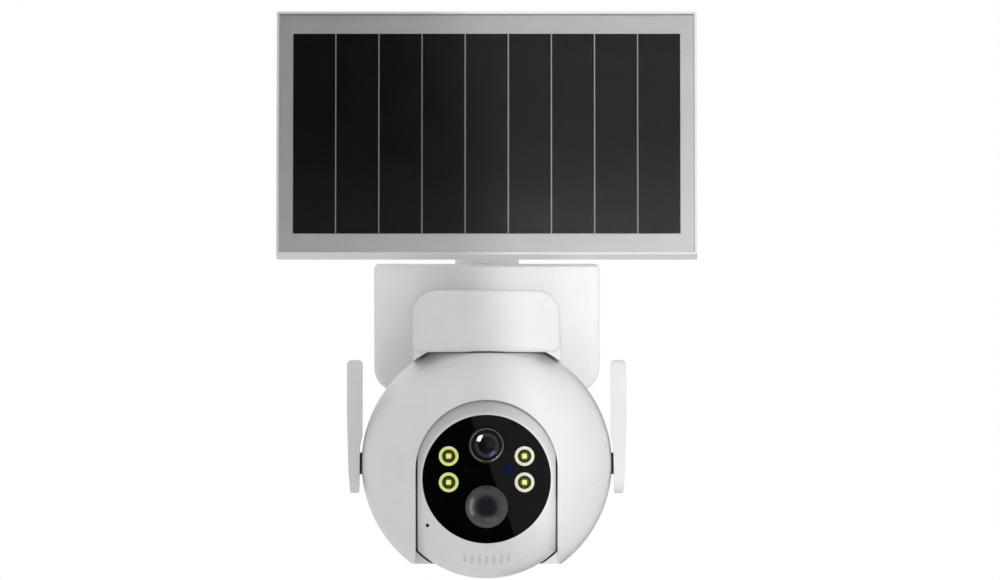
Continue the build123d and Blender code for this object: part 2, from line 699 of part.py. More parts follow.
with BuildPart() as ball_front:
    add(ball_blank.part)
    split(bisect_by=SEAM_PLANE, keep=Keep.TOP)
    chamfer(seam_edges(ball_front, PAN_OUT - SEAM, across(BALL_R, SEAM)), SEAM_GROOVE)
    add(channel.part)
    # screw posts on the seam
    with BuildSketch(facing_front(out=PAN_OUT - SEAM, up=BALL_Z)):
        with Locations(*BALL_SCREWS):
            Circle(4)
    extrude(amount=12)
    # post for the tilt motor's ear
    with BuildSketch(facing_side(SLOT_HALF + CHANNEL_T, PINION_OUT, PINION_Z)):
        with Locations((-13 * sin(radians(PINION_ANGLE)), 13 * cos(radians(PINION_ANGLE)))):
            Circle(2.2)
    extrude(amount=TILT_MOTOR_X - SLOT_HALF - CHANNEL_T)
    split(bisect_by=above_ball, keep=Keep.BOTTOM)
    split(bisect_by=below_ball, keep=Keep.TOP)
    add(slot_void.part, mode=Mode.SUBTRACT)
    fillet(slot_rim(ball_front), SLOT_RIM_R)
    with BuildSketch(facing_front(out=PAN_OUT - SEAM, up=BALL_Z)):
        with Locations(*BALL_SCREWS):
            Circle(1.25)
    extrude(amount=10, mode=Mode.SUBTRACT)
    # bearings of the tilt axle
    with BuildSketch(facing_side(-40, HEAD_OUT, HEAD_Z)):
        Circle(TILT_BUSH_R)
    extrude(amount=80, mode=Mode.SUBTRACT)
    # bearings of the antennas
    with BuildSketch(facing_side(-BALL_R, PAN_OUT, BALL_Z)):
        Circle(PIVOT_R + SHAFT_GAP)
    extrude(amount=8, mode=Mode.SUBTRACT)
    with BuildSketch(facing_side(BALL_R - 8, PAN_OUT, BALL_Z)):
        Circle(PIVOT_R + SHAFT_GAP)
    extrude(amount=8, mode=Mode.SUBTRACT)
    with BuildSketch(facing_up(0, PAN_OUT, ROOF - 5)):
        Circle(SPINDLE_R)
    extrude(amount=5, mode=Mode.SUBTRACT)
save(ball_front, "ball_front")

# service recess low on the back, under a rubber flap
SERVICE_TILT = 35.0
SERVICE = (28.0, 13.0)
SERVICE_FLOOR = 50.9          # from the ball's centre
FLAP_BASE = 52.8
FLAP_GAP = 0.2
RESET_X = 8.5
service_normal = (0, cos(radians(SERVICE_TILT)), -sin(radians(SERVICE_TILT)))


def service_plane(radius):
    """Plane square to the service recess, at a distance from the ball's centre."""
    origin = [c + radius * n for c, n in zip(BALL, service_normal)]
    return Plane(origin=origin, x_dir=(-1, 0, 0), z_dir=service_normal)


with BuildPart() as ball_back_posts:
    with BuildSketch(facing_front(out=PAN_OUT - SEAM, up=BALL_Z)):
        with Locations(*BALL_SCREWS):
            Circle(4.6)
    extrude(amount=-50)
    with BuildSketch(facing_front(out=PAN_OUT - 42.1, up=BALL_Z)):
        with GridLocations(44, 30, 2, 2):
            Circle(2.2)
    extrude(amount=-20)
    with BuildSketch(service_plane(SERVICE_FLOOR - 1.5)):
        Rectangle(SERVICE[0] + 3, SERVICE[1] + 3)
    extrude(amount=6)
    with Locations(BALL):
        Sphere(BALL_R - 0.6, mode=Mode.INTERSECT)

with BuildPart() as ball_rear:
    add(ball_blank.part)
    split(bisect_by=SEAM_PLANE, keep=Keep.BOTTOM)
    chamfer(seam_edges(ball_rear, PAN_OUT - SEAM, across(BALL_R, SEAM)), SEAM_GROOVE)
    add(ball_back_posts.part)
    add(slot_void.part, mode=Mode.SUBTRACT)
    with BuildSketch(facing_front(out=PAN_OUT - SEAM - 3, up=BALL_Z)):
        with Locations(*BALL_SCREWS):
            Circle(3.1)
    extrude(amount=-50, mode=Mode.SUBTRACT)
    with BuildSketch(facing_front(out=PAN_OUT - SEAM, up=BALL_Z)):
        with Locations(*BALL_SCREWS):
            Circle(1.5)
    extrude(amount=-3, mode=Mode.SUBTRACT)
    with BuildSketch(service_plane(SERVICE_FLOOR)):
        Rectangle(*SERVICE)
    extrude(amount=10, mode=Mode.SUBTRACT)
    with BuildSketch(service_plane(SERVICE_FLOOR - 2)):
        with Locations((RESET_X, 0)):
            Circle(1.4 + SHAFT_GAP)
        with Locations((-3, 0)):
            Rectangle(12.4, 2.4)
    extrude(amount=3, mode=Mode.SUBTRACT)
save(ball_rear, "ball_rear")

save_group(
    [screw(facing_front(x, PAN_OUT - SEAM - 3, BALL_Z + z).rotated((180, 0, 0)), 2.8, 1.4, 1.25, 12.0)
     for x, z in BALL_SCREWS],
    "ball_screws",
)

with BuildPart() as sd_flap:
    with BuildSketch(service_plane(FLAP_BASE)):
        Rectangle(SERVICE[0] - 2 * FLAP_GAP, SERVICE[1] - 2 * FLAP_GAP)
    extrude(amount=6)
    with Locations(BALL):
        Sphere(BALL_R - 0.1, mode=Mode.INTERSECT)
save(sd_flap, "sd_flap")

with BuildPart() as reset_button:
    with BuildSketch(service_plane(SERVICE_FLOOR - 1.7)):
        with Locations((RESET_X, 0)):
            Circle(1.4)
    extrude(amount=2.5)
    with BuildSketch(service_plane(SERVICE_FLOOR - 2.5)):
        with Locations((RESET_X, 0)):
            Circle(2.2)
    extrude(amount=0.8)
save(reset_button, "reset_button")

BOARD_OUT = PAN_OUT - 42.1

with BuildPart() as main_board:
    with BuildSketch(facing_front(out=BOARD_OUT, up=BALL_Z)):
        Circle(30.5)
        Rectangle(60, 42, mode=Mode.INTERSECT)
    extrude(amount=1.4)
    with BuildSketch(facing_front(out=BOARD_OUT, up=BALL_Z)):
        with Locations((-9, 3)):
            Rectangle(14, 14)
        with Locations((10, 6)):
            Rectangle(9, 7)
    extrude(amount=-1.3)
save(main_board, "main_board")

SPINDLE_TOP = MOTOR_Z - 0.3

with BuildPart() as pan_spindle:
    with BuildSketch(facing_up(0, PAN_OUT, ROOF - BALL_WALL - 2)):
        Circle(12.5)
    extrude(amount=2)
    with BuildSketch(facing_up(0, PAN_OUT, ROOF - BALL_WALL - 2)):
        Circle(SPINDLE_R)
    extrude(amount=SPINDLE_TOP - ROOF + BALL_WALL + 2)
    with BuildSketch(facing_up(0, PAN_OUT, ROOF - BALL_WALL - 2)):
        Circle(5)
    extrude(amount=40, mode=Mode.SUBTRACT)
save(pan_spindle, "pan_spindle")

with BuildPart() as pan_gear:
    with BuildSketch(facing_up(0, PAN_OUT, PAN_GEAR_Z)):
        add(gear_outline(GEAR_TEETH, 0, SPINDLE_R))
    extrude(amount=GEAR_T)
save(pan_gear, "pan_gear")

# ---------------------------------------------------------------- tilt drive

with BuildPart() as tilt_motor:
    with BuildSketch(facing_side(TILT_MOTOR_X, PINION_OUT, PINION_Z)):
        Circle(MOTOR_R)
    extrude(amount=10)
    fillet(tilt_motor.edges().filter_by(GeomType.CIRCLE), 0.6)
    with BuildSketch(facing_side(TILT_MOTOR_X, PINION_OUT, PINION_Z)):
        SlotCenterToCenter(2 * MOTOR_EAR, 5, rotation=90 + PINION_ANGLE)
    extrude(amount=0.8)
save(tilt_motor, "tilt_motor")

with BuildPart() as tilt_pinion:
    with BuildSketch(facing_side(TILT_GEAR_X, PINION_OUT, PINION_Z)):
        add(gear_outline(PINION_TEETH, PINION_ANGLE + 180 + 180 / PINION_TEETH))
    extrude(amount=GEAR_T)
    with BuildSketch(facing_side(TILT_GEAR_X + GEAR_T, PINION_OUT, PINION_Z)):
        Circle(1.0)
    extrude(amount=0.9)
save(tilt_pinion, "tilt_pinion")

with BuildPart() as tilt_bushes:
    for side in (-1, 1):
        with BuildSketch(facing_side(side * BUSH_IN, HEAD_OUT, HEAD_Z, side)):
            Circle(TILT_BUSH_R)
            Circle(AXLE_R + SHAFT_GAP, mode=Mode.SUBTRACT)
        extrude(amount=BUSH_OUT - BUSH_IN)
save(tilt_bushes, "tilt_bushes")

AXLE_IN = HEAD_HALF_W - HEAD_WALL

with BuildPart() as tilt_axles:
    for side, reach in ((-1, 35.6), (1, 38.9)):
        with BuildSketch(facing_side(side * (AXLE_IN - 1.5), HEAD_OUT, HEAD_Z, side)):
            Circle(6.5)
        extrude(amount=1.5)
        with BuildSketch(facing_side(side * AXLE_IN, HEAD_OUT, HEAD_Z, side)):
            Circle(AXLE_R)
        extrude(amount=reach - AXLE_IN)
        with BuildSketch(facing_side(side * (AXLE_IN - 1.5), HEAD_OUT, HEAD_Z, side)):
            Circle(2.4)
        extrude(amount=20, mode=Mode.SUBTRACT)
save(tilt_axles, "tilt_axles")

with BuildPart() as tilt_gear:
    with BuildSketch(facing_side(TILT_GEAR_X, HEAD_OUT, HEAD_Z)):
        add(gear_outline(GEAR_TEETH, PINION_ANGLE, AXLE_R))
    extrude(amount=GEAR_T)
save(tilt_gear, "tilt_gear")

# ---------------------------------------------------------------- head

HEAD_SEAM = 6.0               # behind the head's centre
LEDGE_R = 26.5
WINDOW_FRONT = FACE - 0.1
HEAD_SCREWS = [(x, z) for x in (-26.2, 26.2) for z in (-22.0, 22.0)]
HEAD_SEAM_PLANE = Plane.XZ.offset(HEAD_OUT - HEAD_SEAM)
LED_POINTS = [(x, z) for x in (-LED_X, LED_X) for z in LED_ZS]
SPEAKER_TILT = 54.0           # below straight ahead
speaker_normal = (0, -cos(radians(SPEAKER_TILT)), -sin(radians(SPEAKER_TILT)))


def ahead(distance, x=0.0, z=0.0):
    """Front-facing plane on the head, at a distance ahead of its centre."""
    return facing_front(x, HEAD_OUT + distance, HEAD_Z + z)


def speaker_plane(radius):
    origin = [c + radius * n for c, n in zip(HEAD, speaker_normal)]
    return Plane(origin=origin, x_dir=(1, 0, 0), z_dir=speaker_normal)


with BuildPart() as head_blank:
    with Locations(HEAD):
        Sphere(HEAD_R)
        Box(2 * HEAD_HALF_W, 200, 200, mode=Mode.INTERSECT)
    split(bisect_by=ahead(FACE), keep=Keep.BOTTOM)
    fillet(head_blank.edges().filter_by(GeomType.CIRCLE), 0.8)
    with BuildPart(mode=Mode.PRIVATE) as head_room:
        with Locations(HEAD):
            Sphere(HEAD_R - HEAD_WALL)
            Box(2 * AXLE_IN, 200, 200, mode=Mode.INTERSECT)
        split(bisect_by=ahead(FACE - 3.7), keep=Keep.BOTTOM)
    add(head_room.part, mode=Mode.SUBTRACT)

with BuildPart() as head_front:
    add(head_blank.part)
    split(bisect_by=HEAD_SEAM_PLANE, keep=Keep.TOP)
    with BuildSketch(ahead(-HEAD_SEAM)):
        with Locations(*HEAD_SCREWS):
            Circle(3.2)
            Circle(1.0, mode=Mode.SUBTRACT)
    extrude(amount=12)
    with BuildSketch(ahead(FACE)):
        Circle(WINDOW_R + 0.05)
    extrude(amount=-0.1 - WINDOW_T, mode=Mode.SUBTRACT)
    with BuildSketch(ahead(FACE)):
        Circle(LEDGE_R)
    extrude(amount=-5, mode=Mode.SUBTRACT)
    with BuildSketch(facing_side(-HEAD_HALF_W - 1, HEAD_OUT, HEAD_Z)):
        Circle(AXLE_R)
    extrude(amount=2 * HEAD_HALF_W + 2, mode=Mode.SUBTRACT)
    # microphone hole and speaker slots
    with BuildSketch(ahead(20, -26.5, -20.8)):
        Circle(0.8)
    extrude(amount=14, mode=Mode.SUBTRACT)
    with BuildSketch(speaker_plane(HEAD_R - 5)):
        with GridLocations(3.24, 0, 7, 1):
            SlotOverall(6.8, 1.3, rotation=90)
    extrude(amount=8, mode=Mode.SUBTRACT)
save(head_front, "head_front")

with BuildPart() as head_posts:
    with BuildSketch(ahead(-HEAD_SEAM)):
        with Locations(*HEAD_SCREWS):
            Circle(3.6)
    extrude(amount=-40)
    with Locations(HEAD):
        Sphere(HEAD_R - 0.6, mode=Mode.INTERSECT)

with BuildPart() as head_rear:
    add(head_blank.part)
    split(bisect_by=HEAD_SEAM_PLANE, keep=Keep.BOTTOM)
    add(head_posts.part)
    with BuildSketch(ahead(-HEAD_SEAM - 3)):
        with Locations(*HEAD_SCREWS):
            Circle(2.4)
    extrude(amount=-40, mode=Mode.SUBTRACT)
    with BuildSketch(ahead(-HEAD_SEAM)):
        with Locations(*HEAD_SCREWS):
            Circle(1.2)
    extrude(amount=-3, mode=Mode.SUBTRACT)
save(head_rear, "head_rear")

save_group(
    [screw(ahead(-HEAD_SEAM - 3, x, z).rotated((180, 0, 0)), 2.1, 1.2, 1.0, 11.0) for x, z in HEAD_SCREWS],
    "head_screws",
)

with BuildPart() as face_window:
    with BuildSketch(ahead(WINDOW_FRONT)):
        Circle(WINDOW_R)
        with Locations((0, LENS_Z)):
            Circle(LENS_R + 0.9, mode=Mode.SUBTRACT)
        with Locations((0, PIR_Z)):
            Circle(PIR_R + 0.05, mode=Mode.SUBTRACT)
        with Locations(*LED_POINTS):
            Circle(LED_R + 0.05, mode=Mode.SUBTRACT)
        with Locations((-SENSOR_X, SENSOR_Z), (SENSOR_X, SENSOR_Z)):
            Circle(SENSOR_R + 0.02, mode=Mode.SUBTRACT)
    extrude(amount=-WINDOW_T)
save(face_window, "face_window")

with BuildPart() as lens_barrel:
    with BuildSketch(ahead(35.2, 0, LENS_Z)):
        Circle(LENS_R - 0.05)
        Circle(6.3, mode=Mode.SUBTRACT)
    extrude(amount=-9.2)
    with BuildSketch(ahead(26, 0, LENS_Z)):
        Circle(6.6)
        Circle(4.2, mode=Mode.SUBTRACT)
    extrude(amount=-6)
    with BuildSketch(ahead(20, 0, LENS_Z)):
        Rectangle(18, 18)
        Rectangle(12, 12, mode=Mode.SUBTRACT)
    extrude(amount=-4.4)
    with BuildSketch(ahead(20, 0, LENS_Z)):
        Rectangle(18, 18)
        Circle(4.2, mode=Mode.SUBTRACT)
    extrude(amount=1.4)
save(lens_barrel, "lens_barrel")

with BuildPart() as lens_ring:
    with BuildSketch(ahead(35.2, 0, LENS_Z)):
        Circle(LENS_R)
        Circle(6.9, mode=Mode.SUBTRACT)
    extrude(amount=0.8)
    chamfer(lens_ring.faces().sort_by(Axis.Y)[0].edges(), 0.15)
save(lens_ring, "lens_ring")

LENS_GLASS_R = 6.25
LENS_RIM = 34.6
LENS_CROWN = 2.25

with BuildPart() as lens_glass:
    with BuildSketch(Plane(origin=(0, -HEAD_OUT, HEAD_Z + LENS_Z), x_dir=(1, 0, 0), z_dir=(0, 0, 1))):
        with BuildLine():
            Polyline((0, 1 - LENS_RIM), (LENS_GLASS_R, 1 - LENS_RIM), (LENS_GLASS_R, -LENS_RIM))
            ThreePointArc(*dome(LENS_GLASS_R, LENS_RIM, LENS_CROWN))
            Line((0, -LENS_RIM - LENS_CROWN), (0, 1 - LENS_RIM))
        make_face()
    revolve(axis=Axis((0, -HEAD_OUT, HEAD_Z + LENS_Z), (0, 1, 0)))
save(lens_glass, "lens_glass")

with BuildPart() as image_board:
    with BuildSketch(ahead(15.6, 0, LENS_Z)):
        RectangleRounded(25, 24, 1)
    extrude(amount=-1.2)
    with BuildSketch(ahead(15.6, 0, LENS_Z)):
        Rectangle(8, 7)
    extrude(amount=0.9)
save(image_board, "image_board")

BOARD_FRONT = 28.6

with BuildPart() as led_board:
    with BuildSketch(ahead(BOARD_FRONT)):
        Circle(24.6)
        with Locations((0, LENS_Z)):
            Circle(LENS_R + 0.6, mode=Mode.SUBTRACT)
    extrude(amount=-1.4)
    # emitters, motion sensor can and the small sensors' stems
    with BuildSketch(ahead(BOARD_FRONT)):
        with Locations(*LED_POINTS):
            Rectangle(3.4, 3.4)
    extrude(amount=1.2)
    with BuildSketch(ahead(BOARD_FRONT)):
        with Locations((0, PIR_Z)):
            Circle(4.6)
    extrude(amount=4.2)
save(led_board, "led_board")

with BuildPart() as led_rings:
    with BuildSketch(ahead(WINDOW_FRONT - 0.05)):
        with Locations(*LED_POINTS):
            Circle(LED_R)
            Circle(3.0, mode=Mode.SUBTRACT)
    extrude(amount=-3.4)
    chamfer(led_rings.faces().sort_by(Axis.Y)[0:4].edges().filter_by(lambda e: e.radius < 3.5), 0.25)
save(led_rings, "led_rings")

LED_LENS_R = 2.98
LED_RIM = 32.2
LED_CROWN = 0.95

with BuildPart() as led_lenses:
    for led_x, led_z in LED_POINTS:
        with BuildSketch(Plane(origin=(led_x, -HEAD_OUT, HEAD_Z + led_z), x_dir=(1, 0, 0), z_dir=(0, 0, 1))):
            with BuildLine():
                Polyline((0, 1 - LED_RIM), (LED_LENS_R, 1 - LED_RIM), (LED_LENS_R, -LED_RIM))
                ThreePointArc(*dome(LED_LENS_R, LED_RIM, LED_CROWN))
                Line((0, -LED_RIM - LED_CROWN), (0, 1 - LED_RIM))
            make_face()
        revolve(axis=Axis((led_x, -HEAD_OUT, HEAD_Z + led_z), (0, 1, 0)))
save(led_lenses, "led_lenses")

PIR_DOME = 4.6
PIR_SHELL = 1.0
PIR_BASE = 31.4

with BuildPart() as pir_lens:
    with BuildSketch(Plane(origin=(0, -HEAD_OUT, HEAD_Z + PIR_Z), x_dir=(1, 0, 0), z_dir=(0, 0, 1))):
        with BuildLine():
            outer = dome(PIR_R, WINDOW_FRONT, PIR_DOME)
            inner = dome(PIR_R - PIR_SHELL, WINDOW_FRONT, PIR_DOME - PIR_SHELL)
            ThreePointArc(*outer)
            Line(outer[2], inner[2])
            ThreePointArc(*reversed(inner))
            Polyline(inner[0], (PIR_R - PIR_SHELL, -PIR_BASE), (PIR_R, -PIR_BASE), outer[0])
        make_face()
    revolve(axis=Axis((0, -HEAD_OUT, HEAD_Z + PIR_Z), (0, 1, 0)))
save(pir_lens, "pir_lens")

for name, side in (("light_sensor", -1), ("status_light", 1)):
    with BuildPart() as small_sensor:
        with BuildSketch(ahead(WINDOW_FRONT - 0.05, side * SENSOR_X, SENSOR_Z)):
            Circle(SENSOR_R)
        extrude(amount=-4.7)
        chamfer(small_sensor.faces().sort_by(Axis.Y)[0].edges(), 0.2)
    save(small_sensor, name)

with BuildPart() as speaker:
    with BuildSketch(speaker_plane(34.5)):
        Circle(7.5)
    extrude(amount=3)
    with BuildSketch(speaker_plane(34.5)):
        Circle(5)
    extrude(amount=-2.5)
save(speaker, "speaker")

# ---------------------------------------------------------------- antennas

ANTENNA_W = 13.0

for name, side in (("left", -1), ("right", 1)):
    with BuildPart() as antenna:
        with BuildSketch(facing_front(out=PAN_OUT + ANTENNA_W / 2, up=BALL_Z)) as front_view:
            with BuildLine():
                Polyline((side * 55.8, ANTENNA_TOP), (side * 55.9, 12.5), (side * 57.0, 7.5),
                         (side * 57.3, -ANTENNA_FOOT), (side * 61.4, -ANTENNA_FOOT),
                         (side * 62.1, -4), (side * 62.8, 20), (side * 62.8, ANTENNA_TOP), close=True)
            make_face()
            fillet(front_view.vertices().group_by(Axis.Y)[-1], 2.0)
            fillet(front_view.vertices().group_by(Axis.Y)[0], 0.8)
        extrude(amount=-ANTENNA_W)
        with BuildSketch(facing_side(side * 50, PAN_OUT, BALL_Z, side)) as side_view:
            with Locations((0, (ANTENNA_TOP - ANTENNA_FOOT) / 2)):
                Rectangle(ANTENNA_W, ANTENNA_TOP + ANTENNA_FOOT)
            fillet(side_view.vertices().group_by(Axis.Y)[-1], 4.5)
            fillet(side_view.vertices().group_by(Axis.Y)[0], ANTENNA_W / 2 - 0.1)
        extrude(amount=20, mode=Mode.INTERSECT)
        with BuildSketch(facing_side(side * 50, PAN_OUT, BALL_Z, side)):
            Circle(PIVOT_R)
        extrude(amount=9, mode=Mode.SUBTRACT)
    save(antenna, f"antenna_{name}")

    with BuildPart() as pivot:
        with BuildSketch(facing_side(side * 52.2, PAN_OUT, BALL_Z, side)):
            Circle(PIVOT_R)
            Circle(2.2, mode=Mode.SUBTRACT)
        extrude(amount=6.8)
        with BuildSketch(facing_side(side * 52.2, PAN_OUT, BALL_Z, side)):
            Circle(5.6)
            Circle(2.2, mode=Mode.SUBTRACT)
        extrude(amount=0.9)
    save(pivot, f"antenna_pivot_{name}")

# ---------------------------------------------------------------- solar panel

lean = radians(PANEL_LEAN)
PIVOT_Z = PANEL_LOW - PIVOT_BEHIND * sin(lean) + PANEL_H / 2 * cos(lean)
PIVOT = (0, -PIVOT_OUT, PIVOT_Z)
panel_normal = (0, -cos(lean), sin(lean))
BOLT_R = 2.5
EYE_HALF = 5.2
EAR_IN, EAR_OUT = 5.4, 9.4
EYE_R = 7.5


def on_panel(height):
    """Plane of the panel, at a height over its back: local x is +X and local y runs up the panel."""
    origin = [c + (PIVOT_BEHIND + height) * n for c, n in zip(PIVOT, panel_normal)]
    return Plane(origin=origin, x_dir=(1, 0, 0), z_dir=panel_normal)


def beside_pivot(x):
    """Side plane through the tilt bolt: local x points from the panel to the wall, local y up the panel."""
    return Plane(origin=(x, -PIVOT_OUT, PIVOT_Z), x_dir=(0, cos(lean), -sin(lean)), z_dir=(1, 0, 0))


FACE_W = PANEL_W - 2 * PANEL_LIP
FACE_H = PANEL_H - 2 * PANEL_LIP
SHEET_BASE = PANEL_T - 2.4
SHEET_T = 1.0
CELL_T = 0.25
GLASS_T = 1.0

with BuildPart() as panel_frame:
    with BuildSketch(on_panel(0)):
        RectangleRounded(PANEL_W, PANEL_H, 0.9)
    extrude(amount=PANEL_T)
    chamfer(panel_frame.faces().sort_by(Axis(PIVOT, panel_normal))[0].edges(), 0.8)
    with BuildSketch(on_panel(SHEET_BASE)):
        Rectangle(FACE_W, FACE_H)
    extrude(amount=5, mode=Mode.SUBTRACT)
    # hollow tray with a ledge and two ribs under the sheet
    with BuildSketch(on_panel(2)):
        Rectangle(PANEL_W - 9, PANEL_H - 9)
        with Locations((-31, 0), (31, 0)):
            Rectangle(1.6, PANEL_H, mode=Mode.SUBTRACT)
    extrude(amount=SHEET_BASE - 2, mode=Mode.SUBTRACT)
save(panel_frame, "panel_frame")

with BuildPart() as panel_backsheet:
    with BuildSketch(on_panel(SHEET_BASE)):
        Rectangle(FACE_W - 0.1, FACE_H - 0.1)
    extrude(amount=SHEET_T)
save(panel_backsheet, "panel_backsheet")

with BuildPart() as solar_cells:
    with BuildSketch(on_panel(SHEET_BASE + SHEET_T)):
        with GridLocations(CELL_PITCH, 0, CELL_COUNT, 1):
            Rectangle(CELL_PITCH - CELL_GAP, CELL_H)
    extrude(amount=CELL_T)
save(solar_cells, "solar_cells")

with BuildPart() as busbars:
    with BuildSketch(on_panel(SHEET_BASE + SHEET_T)):
        with GridLocations(CELL_PITCH, 0, CELL_COUNT - 1, 1):
            Rectangle(CELL_GAP - 0.02, CELL_H + 1.2)
    extrude(amount=CELL_T)
save(busbars, "busbars")

with BuildPart() as panel_glass:
    with BuildSketch(on_panel(SHEET_BASE + SHEET_T + CELL_T)):
        Rectangle(FACE_W - 0.1, FACE_H - 0.1)
    extrude(amount=GLASS_T)
save(panel_glass, "panel_glass")

with BuildPart() as junction_box:
    with BuildSketch(on_panel(0)):
        with Locations((0, 32)):
            RectangleRounded(36, 20, 2)
    extrude(amount=-7)
    chamfer(junction_box.faces().sort_by(Axis(PIVOT, panel_normal))[0].edges(), 0.8)
    gland_face = Plane(origin=on_panel(-3.8).from_local_coords((12, 22, 0)), x_dir=(1, 0, 0),
                       z_dir=(0, -sin(lean), -cos(lean)))
    with BuildSketch(gland_face):
        Circle(2.8)
    extrude(amount=5, taper=8)
    with BuildSketch(gland_face):
        Circle(1.6)
    extrude(amount=8, both=True, mode=Mode.SUBTRACT)
save(junction_box, "junction_box")

with BuildPart() as panel_clevis:
    with BuildSketch(on_panel(0)):
        RectangleRounded(46, 30, 4)
        with GridLocations(34, 18, 2, 2):
            Circle(1.7, mode=Mode.SUBTRACT)
    extrude(amount=-3)
    for ear_x in (-EAR_OUT, EAR_IN):
        with BuildSketch(beside_pivot(ear_x)):
            Circle(EYE_R)
            with Locations((-5.5, 0)):
                Rectangle(11, 2 * EYE_R)
        extrude(amount=EAR_OUT - EAR_IN)
    with BuildSketch(beside_pivot(-EAR_OUT - 1)):
        Circle(BOLT_R)
    extrude(amount=2 * EAR_OUT + 2, mode=Mode.SUBTRACT)
save(panel_clevis, "panel_clevis")

with BuildPart() as tilt_bolt:
    with BuildSketch(beside_pivot(-EAR_OUT - 3)):
        RegularPolygon(4.6, 6)
    extrude(amount=3)
    with BuildSketch(beside_pivot(-EAR_OUT)):
        Circle(BOLT_R)
    extrude(amount=2 * EAR_OUT + 9.5)
save(tilt_bolt, "tilt_bolt")

with BuildPart() as tilt_knob:
    with BuildSketch(beside_pivot(EAR_OUT + 0.15)):
        Circle(6)
    extrude(amount=2)
    with BuildSketch(beside_pivot(EAR_OUT + 2.15)):
        Circle(8.4)
        with PolarLocations(9.6, 6):
            Circle(2.4, mode=Mode.SUBTRACT)
    extrude(amount=8)
    fillet(tilt_knob.faces().sort_by(Axis.X)[-1].edges(), 0.8)
    with BuildSketch(beside_pivot(EAR_OUT + 0.1)):
        Circle(BOLT_R + SHAFT_GAP)
    extrude(amount=9.6, mode=Mode.SUBTRACT)
save(tilt_knob, "tilt_knob")

HUB_BOTTOM = HOUSING_H / 2 + 4.2
HUB_TOP = 46.0
HUB_R = 11.0
PIN_R = 5.0
PIN_TOP = 41.0

with BuildPart() as swivel_base:
    with BuildSketch(facing_up(0, SWIVEL_OUT, HOUSING_H / 2)):
        Circle(14.5)
    extrude(amount=4)
    fillet(swivel_base.faces().sort_by(Axis.Z)[-1].edges(), 0.8)
    with BuildSketch(facing_up(0, SWIVEL_OUT, HOUSING_H / 2 + 4)):
        Circle(PIN_R)
    extrude(amount=PIN_TOP - HOUSING_H / 2 - 4)
save(swivel_base, "swivel_base")

with BuildPart() as panel_neck:
    with BuildSketch(facing_side(-EYE_HALF)) as upper:
        with Locations((-PIVOT_OUT, PIVOT_Z)):
            Circle(EYE_R)
        with Locations((-15.0, 62.0)):
            Circle(6.5)
        make_hull()
    extrude(amount=2 * EYE_HALF)
    with BuildSketch(facing_side(-EYE_HALF)) as lower:
        with Locations((-15.0, 62.0)):
            Circle(6.5)
        with Locations((-SWIVEL_OUT, (HUB_TOP + HUB_BOTTOM) / 2 + 1)):
            Rectangle(18, 8)
        make_hull()
    extrude(amount=2 * EYE_HALF)
    with BuildSketch(facing_up(0, SWIVEL_OUT, HUB_BOTTOM)):
        Circle(HUB_R)
    extrude(amount=HUB_TOP - HUB_BOTTOM)
    with BuildSketch(facing_up(0, SWIVEL_OUT, HUB_BOTTOM)):
        Circle(PIN_R + SHAFT_GAP)
    extrude(amount=PIN_TOP + 0.3 - HUB_BOTTOM, mode=Mode.SUBTRACT)
    with BuildSketch(beside_pivot(-EYE_HALF - 1)):
        Circle(BOLT_R + SHAFT_GAP)
    extrude(amount=2 * EYE_HALF + 2, mode=Mode.SUBTRACT)
save(panel_neck, "panel_neck")
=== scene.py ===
import json
from math import atan2, cos, pi, radians, sin, sqrt, tan

import bmesh
import bpy
from mathutils import Matrix, Vector


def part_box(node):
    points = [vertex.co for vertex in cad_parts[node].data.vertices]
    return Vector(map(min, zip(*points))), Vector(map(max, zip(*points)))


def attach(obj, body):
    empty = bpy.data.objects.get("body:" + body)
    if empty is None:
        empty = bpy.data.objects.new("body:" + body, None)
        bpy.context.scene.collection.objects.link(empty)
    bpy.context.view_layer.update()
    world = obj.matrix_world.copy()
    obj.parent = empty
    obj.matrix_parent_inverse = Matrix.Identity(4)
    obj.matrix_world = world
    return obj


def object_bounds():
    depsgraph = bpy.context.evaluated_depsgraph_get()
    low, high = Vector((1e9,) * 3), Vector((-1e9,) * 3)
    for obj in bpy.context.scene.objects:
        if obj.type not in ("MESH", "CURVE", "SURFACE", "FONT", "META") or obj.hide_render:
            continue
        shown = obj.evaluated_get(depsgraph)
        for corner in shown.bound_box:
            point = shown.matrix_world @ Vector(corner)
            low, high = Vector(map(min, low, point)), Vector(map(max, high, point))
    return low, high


# Looks of the solar-powered security camera. Units are metres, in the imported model's own frame:
# +X to the right, +Y into the wall, +Z up.

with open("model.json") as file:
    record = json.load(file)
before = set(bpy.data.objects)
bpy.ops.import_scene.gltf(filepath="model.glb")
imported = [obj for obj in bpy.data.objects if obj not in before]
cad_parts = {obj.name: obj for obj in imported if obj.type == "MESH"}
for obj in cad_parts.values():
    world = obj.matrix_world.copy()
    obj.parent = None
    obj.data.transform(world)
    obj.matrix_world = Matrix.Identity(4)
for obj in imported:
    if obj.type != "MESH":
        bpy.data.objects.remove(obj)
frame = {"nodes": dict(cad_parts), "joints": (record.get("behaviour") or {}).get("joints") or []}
cad_low, cad_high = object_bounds()
nodes = frame["nodes"]
scene = bpy.context.scene
MM = 0.001
VIEW_WIDTH = 0.45             # what the picture's width covers at the ball
VIEW_X, VIEW_Z = 6.0 * MM, 17.1 * MM      # the picture's middle
AWAY = 10.0                   # from the camera to the ball

# ---------------------------------------------------------------- places taken from the frame


def middle(node):
    """Middle of a CAD node's box."""
    low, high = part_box(node)
    return (low + high) / 2


def joint(name):
    """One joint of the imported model, by name."""
    return next(j for j in frame["joints"] if j["name"] == name)


HEAD = Vector(joint("tilt")["pos_m"])
BALL = Vector(joint("pan")["pos_m"])
WINDOW = middle("face_window")
LENS = middle("lens_ring")
PIR = middle("pir_lens")

# ---------------------------------------------------------------- node trees


